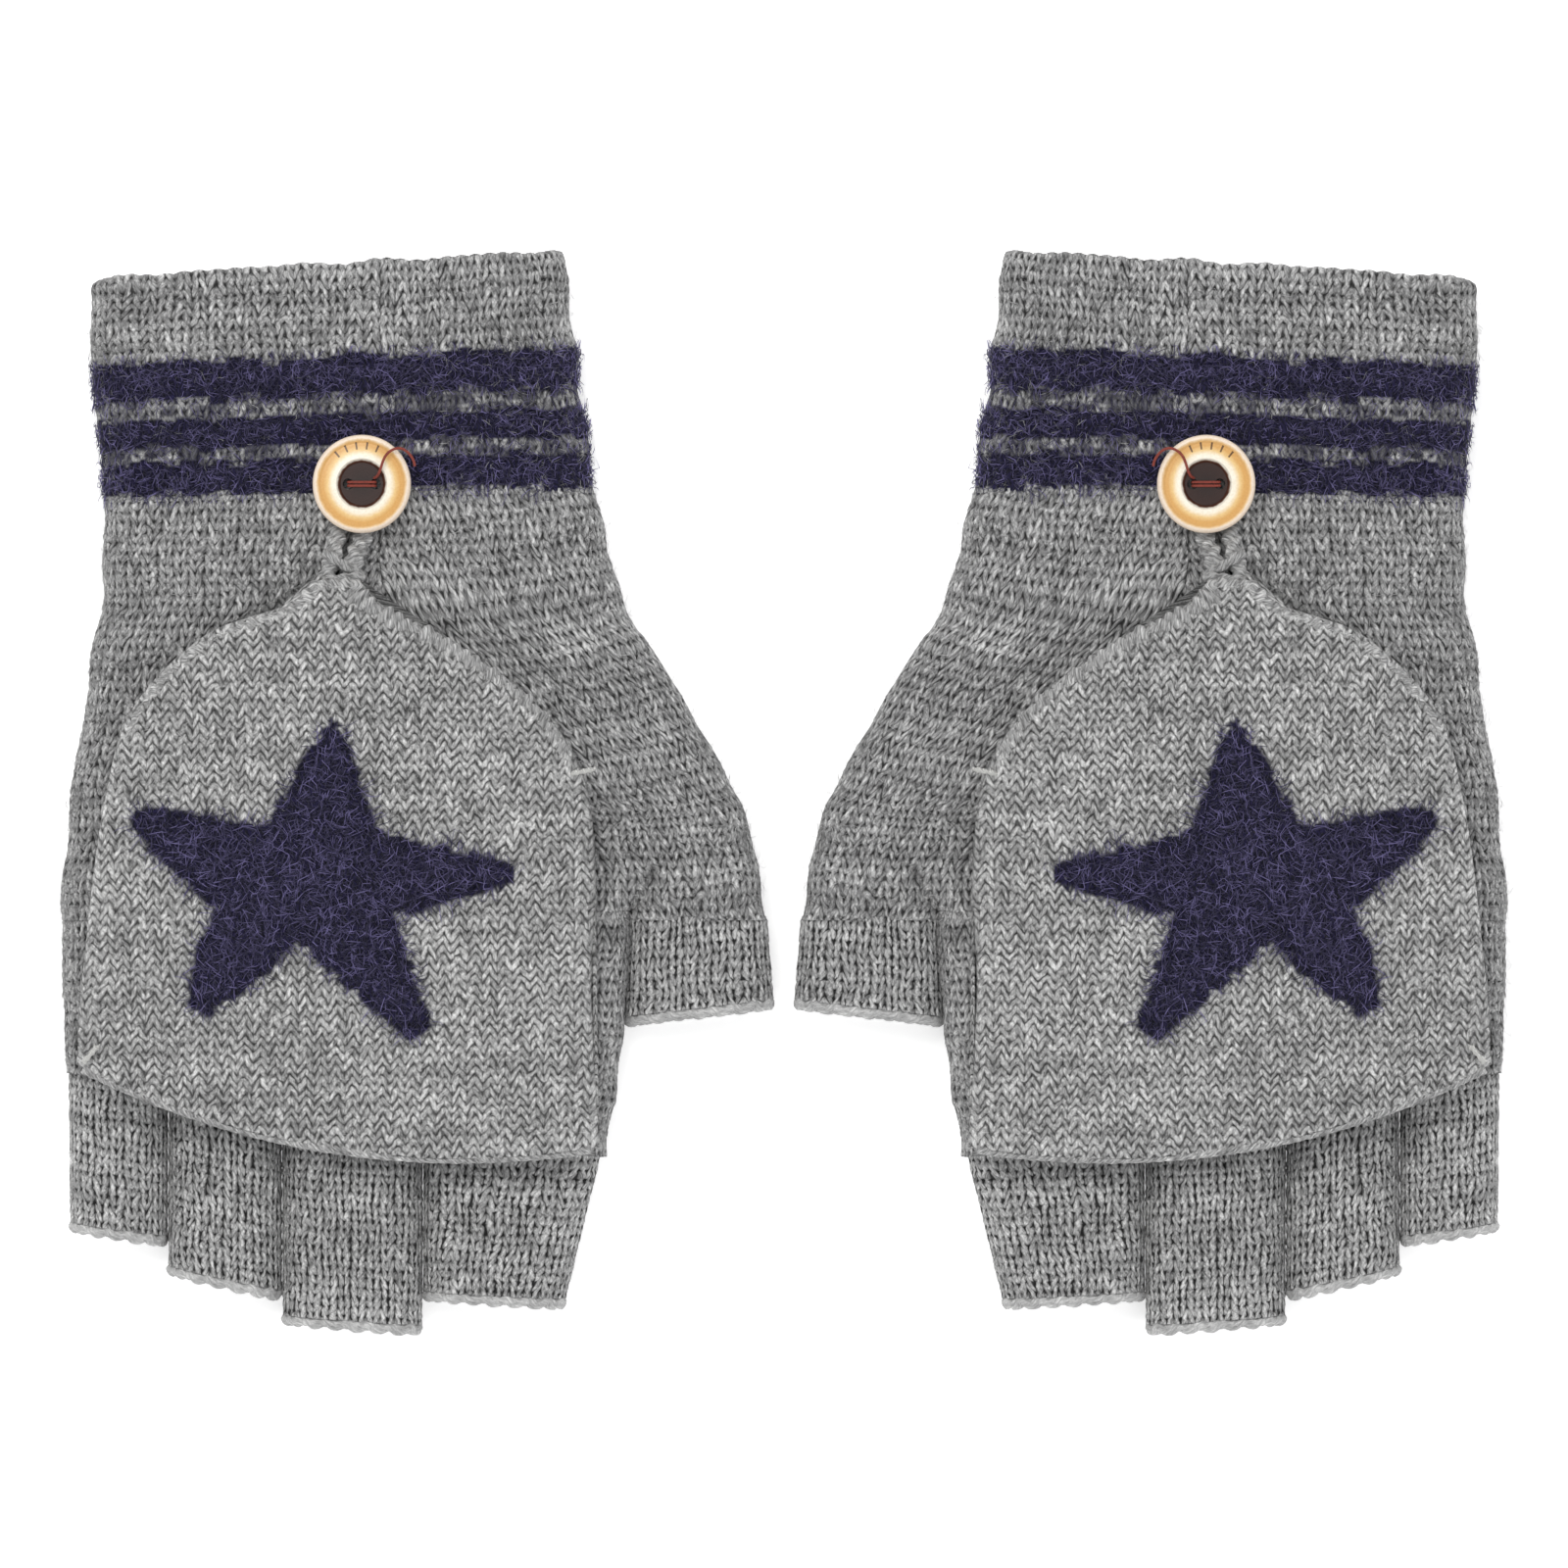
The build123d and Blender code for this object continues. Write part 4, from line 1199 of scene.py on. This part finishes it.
makeHood()
hem = {"radius": 0.95, "pitch": 2.15}
hemLine = mouthPath[2:-2]
hemZ = crown(hemLine[:, 0], hand["height"]) + hood["low"] + hood["depth"]
hemZ = hemZ - hood["mouthDrop"] - hood["fabric"] * 0.5
hemPiece = twistedCord("rightMouthHem", np.column_stack([hemLine, hemZ]), hem["radius"], hem["pitch"],
                       depth=0.13, wobble=0.1, perPitch=6)
keep(hemPiece, "hood", ["mouth_hem"], "pale_edge", linkYarn)

seam = {"radius": 1.6, "pitch": 2.0}


def makeTipSeam():
    left = hoodLeft[hoodLeft[:, 1] > 26.0]
    right = hoodRight[hoodRight[:, 1] > 26.0]
    line = np.vstack([left, right[::-1]])
    centre = np.array([0.0, 25.0])
    inward = centre - line
    inward /= np.linalg.norm(inward, axis=1)[:, None]
    line = line + inward * 1.7
    z = crown(line[:, 0], hand["height"]) + hood["low"] + hood["depth"] - 1.7
    away = wander(line[:, 0], line[:, 1], 7.0, 61) * 0.4
    line = line + inward * away[:, None]
    piece = twistedCord("rightTipSeam", np.column_stack([line, z]), seam["radius"], seam["pitch"], depth=0.36,
                        wobble=0.7, perPitch=8, strands=1, squeeze=0.8,
                        taper=((0, 0.12, 0.4, 0.55, 0.9, 1), (0.4, 0.62, 0.7, 1.15, 1.0, 0.7)))
    keep(piece, "hood", ["tip_seam"], "linking_yarn", linkYarn)


makeTipSeam()


root = {"from": 2.5, "over": 1.0, "to": 8.2, "thick": 1.0}


def makeHoodRoot():
    # the knit that turns over when the hood is brought forward; folded small under the hood at rest
    columns = marks(-16, 17, knit["across"])
    turning = np.linspace(0, 1, 25)
    offsets = np.r_[root["from"] + root["over"] * turning,
                    np.linspace(root["from"] + root["over"], root["to"], 9)[1:]]
    weight = np.r_[turning * turning * (3 - 2 * turning), np.ones(8)]
    run = weight * 16.0 + np.clip(offsets - root["from"] - root["over"], 0, None)
    steps = len(offsets)
    rows = np.arange(2 * steps + 1)
    piece, i, j = newGrid("rightHoodRoot", columns, rows)
    order = np.r_[np.arange(steps), np.arange(steps)[::-1], 0]
    k = order[j]
    upper = (j >= steps) & (j < 2 * steps)
    x = columns[i] * knit["wale"] * 0.985
    y = lineY(x, 0.0) + offsets[k] * (toCuff[1] - toCuff[0] * hingeRun[1] / hingeRun[0])
    mapU, mapV = columns[i] + 3000 + 300 * upper, run[k] / knit["course"]
    h = stitchHeight(mapU, mapV)
    ends = np.clip(np.minimum(columns[i] + 16, 17 - columns[i]) / 0.5, 0, 1)
    half = root["thick"] / 2 * ends
    risen = np.clip((offsets[k] - root["from"]) / root["over"], 0, 1)
    z = crown(x, hand["height"]) - 0.3 + 1.15 * risen
    z = z + np.where(upper, half, -half - 0.5 * (h - 0.7) * ends)
    # the stitch height also goes in as painted shade on low stitches
    setSurface(piece, (x, y, z), (mapU, mapV), h)
    closeUp(piece, 0.0005)
    along = 48.0
    start = hingeStart + hingeRun * along + toCuff * root["from"]
    end = start + toCuff * root["over"]
    keep(piece, "hood", [], "grey_knit", hoodKnit, ((*start, 17.0), (*end, 17.0)))


makeHoodRoot()


def makeAttachment():
    x = np.linspace(-41.5, 43.0, 60)
    y = lineY(x, 5.9)
    z = crown(x, hand["height"]) + 0.4
    piece = twistedCord("rightAttachmentSeam", np.column_stack([x, y, z]), 0.8, 2.6)
    keep(piece, "hands", ["attachment_seam"], "linking_yarn", linkYarn)


makeAttachment()


# Brushed fibres
# short curved hairs: eight vertices each, lying over the surface at random turns
def fibres(name, root, outward, length, thickness, seed, lift, swirl=1.0):
    rng = np.random.default_rng(seed)
    n = len(root)
    turn = rng.uniform(0, 2 * math.pi, n)
    flatA = np.cross(outward, np.array([0.0, 1.0, 0.0]) + 0.001)
    flatA /= np.linalg.norm(flatA, axis=1)[:, None]
    flatB = np.cross(outward, flatA)
    run = flatA * np.cos(turn)[:, None] + flatB * np.sin(turn)[:, None]
    side = np.cross(outward, run)
    size = (length[0] + (length[1] - length[0]) * rng.random(n))[:, None]
    bend = rng.normal(0, 0.28, n)[:, None] * size * swirl
    rise = (lift[0] + (lift[1] - lift[0]) * rng.random(n)**1.6)[:, None]
    p0 = root
    p1 = root + run * size * 0.33 + side * bend * 0.6 + outward * rise * 0.75
    p2 = root + run * size * 0.68 + side * bend + outward * rise
    p3 = root + run * size + side * bend * 0.4 + outward * rise * rng.uniform(-0.1, 1.5, n)[:, None]
    t = (thickness[0] + (thickness[1] - thickness[0]) * rng.random(n))[:, None]
    verts = np.empty((n, 8, 3))
    verts[:, 0] = p0
    for k, p in enumerate((p1, p2)):
        verts[:, 1 + 3 * k] = p + outward * t
        verts[:, 2 + 3 * k] = p - outward * t * 0.5 + side * t * 0.87
        verts[:, 3 + 3 * k] = p - outward * t * 0.5 - side * t * 0.87
    verts[:, 7] = p3
    pattern = np.array([(0, 2, 1), (0, 3, 2), (0, 1, 3), (1, 2, 5), (1, 5, 4), (2, 3, 6),
                        (2, 6, 5), (3, 1, 4), (3, 4, 6), (4, 5, 7), (5, 6, 7), (6, 4, 7)])
    faces = (np.arange(n)[:, None, None] * 8 + pattern[None]).reshape(-1, 3)
    co = verts.reshape(-1, 3)
    co[:, 2] = np.maximum(co[:, 2], 0.03)
    co[:, 0] -= pairSpacing / 2
    co[:, 1] -= middleY
    mesh = bpy.data.meshes.new(name)
    mesh.from_pydata((co * mm).tolist(), [], faces.tolist())
    tone = np.repeat(rng.random(n)**2.2, 8)
    data = mesh.attributes.new("tone", "FLOAT", "POINT")
    data.data.foreach_set("value", tone.astype(np.float32))
    piece = bpy.data.objects.new(name, mesh)
    bpy.context.scene.collection.objects.link(piece)
    selectOnly(piece)
    bpy.ops.object.mode_set(mode="EDIT")
    bpy.ops.mesh.select_all(action="SELECT")
    bpy.ops.mesh.normals_make_consistent(inside=False)
    bpy.ops.object.mode_set(mode="OBJECT")
    bpy.ops.object.shade_smooth()
    return piece


brushedPile = {
    "thick": (0.05, 0.085),
    "starLong": (2.2, 5.2),
    "cuffLong": (1.8, 4.0),
    "tried": 40000,
    "star": 5600,  # how many of the tried ones are kept, inside the star
}
looseHair = {
    "thick": (0.022, 0.04),
    "handLong": (1.3, 3.4),
    "hoodLong": (1.3, 3.2),
    "hood": 1500,
    "swirl": 1.4,
}


def makeStarPile():
    rng = np.random.default_rng(7)
    x = rng.uniform(-42, 38, brushedPile["tried"])
    y = rng.uniform(-30, 38, brushedPile["tried"])
    inside = starDistance(x, y) > 0.4
    x, y = (values[inside][:brushedPile["star"]] for values in (x, y))
    z = crown(x, hand["height"]) + hood["low"] + hood["depth"] - 0.1 + 0.35 * wander(x, y, 30.0, 8)
    up = np.column_stack([x / hand["crownRadius"], x * 0, np.ones(len(x))])
    piece = fibres("rightStarPile", np.column_stack([x, y, z]), up, brushedPile["starLong"],
                   brushedPile["thick"], 71, (0.25, 1.1))
    keep(piece, "hood", ["star_pile"], "navy_pile", navyFibre)


makeStarPile()


def makeCuffPile():
    rng = np.random.default_rng(9)
    groups = []
    for underneath, family, most in ((False, "left", 3700), (False, "right", 2900), (True, "left", 800),
                                     (True, "right", 600)):
        share = rng.random(most)
        bands = cuff["bands"]
        weights = np.array([b - a for a, b in bands])
        which = rng.choice(3, most, p=weights / weights.sum())
        low = np.array([b[0] for b in bands])[which]
        high = np.array([b[1] for b in bands])[which]
        y = cuff["bandsEnd"] - cuff["bandsLong"] * (low + (high - low) * share)
        x, yy, z, nx, nz = handSurface(rng.random(most), y, family, underneath, "palm", count=1)
        groups.append((np.column_stack([x, yy, z]), np.column_stack([nx, nx * 0, nz])))
    root = np.vstack([g[0] for g in groups])
    out = np.vstack([g[1] for g in groups])
    root = root - out * 0.1
    piece = fibres("rightCuffPile", root, out, brushedPile["cuffLong"], brushedPile["thick"], 72, (0.2, 0.95))
    keep(piece, "hands", ["cuff_pile"], "navy_pile", navyFibre)


makeCuffPile()


# Loose grey hairs
def makeHandFuzz():
    rng = np.random.default_rng(15)
    groups = []
    for family, low, high, most, lowY, highY in (
        ("left", 0, 3, 700, -24, 118), ("left", 3, 18, 800, 0, 118), ("right", 0, 4, 800, 1, 118),
        ("right", 4, 12, 900, 2, 118),
    ):
        columns = rng.uniform(low, high, most)
        y = rng.uniform(lowY, highY, most)
        x, yy, z, nx, nz = handSurface(columns, y, family, False, "palm")
        if lowY < 0:
            knuckle = y < 0
            other = handSurface(columns, y, family, False, "knuckle")
            x, z, nx, nz = (np.where(knuckle, b, a) for a, b in zip((x, z, nx, nz), (other[0], *other[2:])))
        groups.append((np.column_stack([x, yy, z]), np.column_stack([nx, nx * 0, nz])))
    root, out = (np.vstack([g[k] for g in groups]) for k in (0, 1))
    piece = fibres("rightHandFuzz", root - out * 0.2, out, looseHair["handLong"], looseHair["thick"], 81,
                   (0.2, 1.3), looseHair["swirl"])
    keep(piece, "hands", [], "grey_knit", greyFibre)


def makeHoodFuzz():
    rng = np.random.default_rng(16)
    x = rng.uniform(-45, 48, looseHair["hood"])
    y = rng.uniform(-44, 61, looseHair["hood"])
    left = np.interp(y, hoodLeft[:, 1], hoodLeft[:, 0])
    right = np.interp(y, hoodRight[:, 1], hoodRight[:, 0])
    fine = (x > left + 0.8) & (x < right - 0.8) & (y > mouthY(x)) & (starDistance(x, y) < 0.5)
    x, y = x[fine], y[fine]
    edge = np.minimum(x - left[fine], right[fine] - x)
    dome = np.sqrt(np.clip(1 - (1 - np.clip(edge / hood["round"], 0, 1))**2, 0, 1))
    z = crown(x, hand["height"]) + hood["low"] + hood["depth"] / 2 * (1 + dome)
    out = np.column_stack([np.zeros(len(x)), np.zeros(len(x)), np.ones(len(x))])
    piece = fibres("rightHoodFuzz", np.column_stack([x, y, z - 0.2]), out, looseHair["hoodLong"],
                   looseHair["thick"], 82, (0.2, 0.9), looseHair["swirl"])
    keep(piece, "hood", [], "grey_knit", greyFibre)


makeHandFuzz()
makeHoodFuzz()


# The loop over the button
loop = {
    "cord": 1.8,
    "tip": (1.0, 60.0, 21.0),
    "button": (5.8, 79.3, 16.85),
    "spread": 3.1,  # half of its width round the button's stalk
    "back": 8.4,  # from the stalk to where its two sides come together
    "foot": 2.4,
    "neck": 2.0,
    "flat": 0.68,
}


def makeLoop():
    tip, far = np.array(loop["tip"]), np.array(loop["button"])
    along = (far - tip)[:2]
    along /= np.linalg.norm(along)
    across = np.array([along[1], -along[0], 0])
    along = np.array([along[0], along[1], 0])
    bend = far - along * loop["back"]
    middle = (tip + bend) / 2 + np.array([0, 0, 0.5])
    wide = across * loop["spread"]
    foot, neck = across * loop["foot"], across * loop["neck"]
    left = [tip - foot - along, middle - neck, bend - wide * 0.8, far - wide]
    turns = np.linspace(0.3, 2.84, 8)
    arc = [far + along * loop["spread"] * math.sin(a) - wide * math.cos(a) for a in turns]
    right = [far + wide, bend + wide * 0.8, middle + neck, tip + foot - along]
    path = smoothPath(left + arc + right, 120)
    cords = [twistedCord("loopCord", path, loop["cord"], 2.6, depth=0.36, around=14, perPitch=9, wobble=0.25,
                         squeeze=loop["flat"])]
    for place, tilt, size in ((0.16, 0.45, 1.0), (0.42, -0.35, 0.9)):  # stitches crossing at its foot
        centre = tip + (bend - tip) * place + np.array([0, 0, 0.2])
        turn = np.linspace(0, 2 * math.pi, 40, endpoint=False)
        ring = centre + across * (3.7 * size * np.cos(turn))[:, None]
        ring = ring + along * (tilt * 3.2 * np.cos(turn))[:, None]
        ring = ring + np.array([0, 0, 1.0]) * (1.9 * size * np.sin(turn))[:, None]
        cords.append(twistedCord("loopStitch", ring, 1.05, 2.4, True, upward=along, depth=0.3, perPitch=9,
                                 wobble=0.2))
    piece = joinAll(cords, "rightButtonLoop")
    keep(piece, "hood", ["button_loop"], "linking_yarn", linkYarn)


makeLoop()


def makeTacks():
    bars = []
    for k, (x, y, turn) in enumerate(((-43.6, -25.0, 50.0), (46.4, 26.6, 12.0))):
        z = crown(x, hand["height"]) + hood["low"] + hood["depth"] - 0.5
        run = np.array([math.cos(math.radians(turn)), math.sin(math.radians(turn)), 0]) * 2.2
        place = np.array([x, y, z])
        path = smoothPath([place - run - np.array([0, 0, 0.8]), place - run * 0.5, place + run * 0.5,
                           place + run - np.array([0, 0, 0.8])], 24)
        bars.append(twistedCord(f"tackBar{k}", path, 0.55, 1.3, depth=0.4, around=10, wobble=0.4))
    piece = joinAll(bars, "rightCornerTacks")
    keep(piece, "hood", ["corner_tacks"], "tack_thread", tackThread)


makeTacks()


# The button
buttonLook = {
    "radius": 0.009,
    "tickRate": 3.6,
    "tickRing": 0.78,  # as a share of the radius, like the rings
    "rings": [(0.0, (0.014, 0.005, 0.004)), (0.435, (0.028, 0.009, 0.006)), (0.475, (0.09, 0.03, 0.014)),
              (0.50, (0.90, 0.86, 0.76)), (0.60, (0.88, 0.82, 0.68)), (0.69, (0.78, 0.55, 0.25)),
              (0.78, (0.66, 0.37, 0.115)), (0.87, (0.66, 0.38, 0.13)), (0.905, (0.80, 0.60, 0.36)),
              (0.93, (0.86, 0.74, 0.62)), (1.0, (0.84, 0.70, 0.56))],
}


def resinMaterial(side):
    mat, g, shader = newMaterial(side + "GlazedResin", {"Roughness": 0.32, "Specular IOR Level": 0.3,
                                                        "Coat Weight": 0.2, "Coat Roughness": 0.12})
    low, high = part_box(side + "_button")
    centre = (low + high) / 2
    across = 1 / buttonLook["radius"]
    place = g.node("ShaderNodeTexCoord").outputs["Object"]
    shift = g.node("ShaderNodeMapping", {"Location": (-centre.x * across, -centre.y * across, 0),
                                         "Scale": (across, across, 0)}, place)
    length = mat.node_tree.nodes.new("ShaderNodeVectorMath")
    length.operation = "LENGTH"
    g.link(shift.outputs[0], length.inputs[0])
    blur = g.noise(place, 900, 3.0)
    radius = g.math("MULTIPLY_ADD", g.math("SUBTRACT", blur, 0.5), 0.05, length.outputs["Value"])
    colour = g.ramp(radius, buttonLook["rings"])
    speck = g.noise(place, 2600, 2.0, 0.7)
    tint = g.ramp(speck, [(0.35, (0.86, 0.80, 0.74)), (0.6, (1.0, 1.0, 1.0))])
    colour = g.mix(0.55, colour, tint, "MULTIPLY")
    # small plain marks round the top of the glaze
    parts = mat.node_tree.nodes.new("ShaderNodeSeparateXYZ")
    g.link(shift.outputs[0], parts.inputs[0])
    angle = g.math("ARCTAN2", parts.outputs[0], parts.outputs[1])
    beat = g.math("FRACT", g.math("MULTIPLY", angle, buttonLook["tickRate"]))
    tick = g.math("LESS_THAN", g.math("ABSOLUTE", g.math("SUBTRACT", beat, 0.5)), 0.09)
    arc = g.math("LESS_THAN", g.math("ABSOLUTE", angle), 0.86)
    fromRing = g.math("ABSOLUTE", g.math("SUBTRACT", length.outputs["Value"], buttonLook["tickRing"]))
    ring = g.math("LESS_THAN", fromRing, 0.075)
    mark = g.math("MULTIPLY", g.math("MULTIPLY", tick, arc), ring)
    colour = g.mix(g.math("MULTIPLY", mark, 0.85), colour, (0.04, 0.015, 0.008))
    g.link(colour, shader.inputs["Base Color"])
    g.bump(speck, 0.15, 0.0002, shader)
    return mat


def refinish(node, material):
    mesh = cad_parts[node].data
    mesh.materials.clear()
    mesh.materials.append(material)


for side in ("right", "left"):
    refinish(side + "_button", resinMaterial(side))
    for node in ("button_stitches", "thread_shank", "thread_tail"):
        refinish(f"{side}_{node}", redThread)


def settle(piece, facts, side):
    body = facts["body"] if facts["body"] == "hands" else f"{side}_{facts['body']}"
    if facts["bend"]:
        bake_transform(piece)
    else:
        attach(piece, body)
    if facts["replaces"]:
        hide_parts(*[f"{side}_{node}" for node in facts["replaces"]])


for facts in finished:
    piece = facts["piece"]
    copy = piece.copy()
    copy.data = piece.data.copy()
    copy.name = piece.name.replace("right", "left")
    copy.data.name = copy.name
    copy.data.transform(Matrix.Scale(-1, 4, (1, 0, 0)))
    copy.data.flip_normals()
    bpy.context.scene.collection.objects.link(copy)
    settle(piece, facts, "right")
    settle(copy, facts, "left")
print("both mittens placed")

triangles = sum(sum(len(p.vertices) - 2 for p in o.data.polygons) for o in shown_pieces() if o.type == "MESH")
print("triangles", triangles)
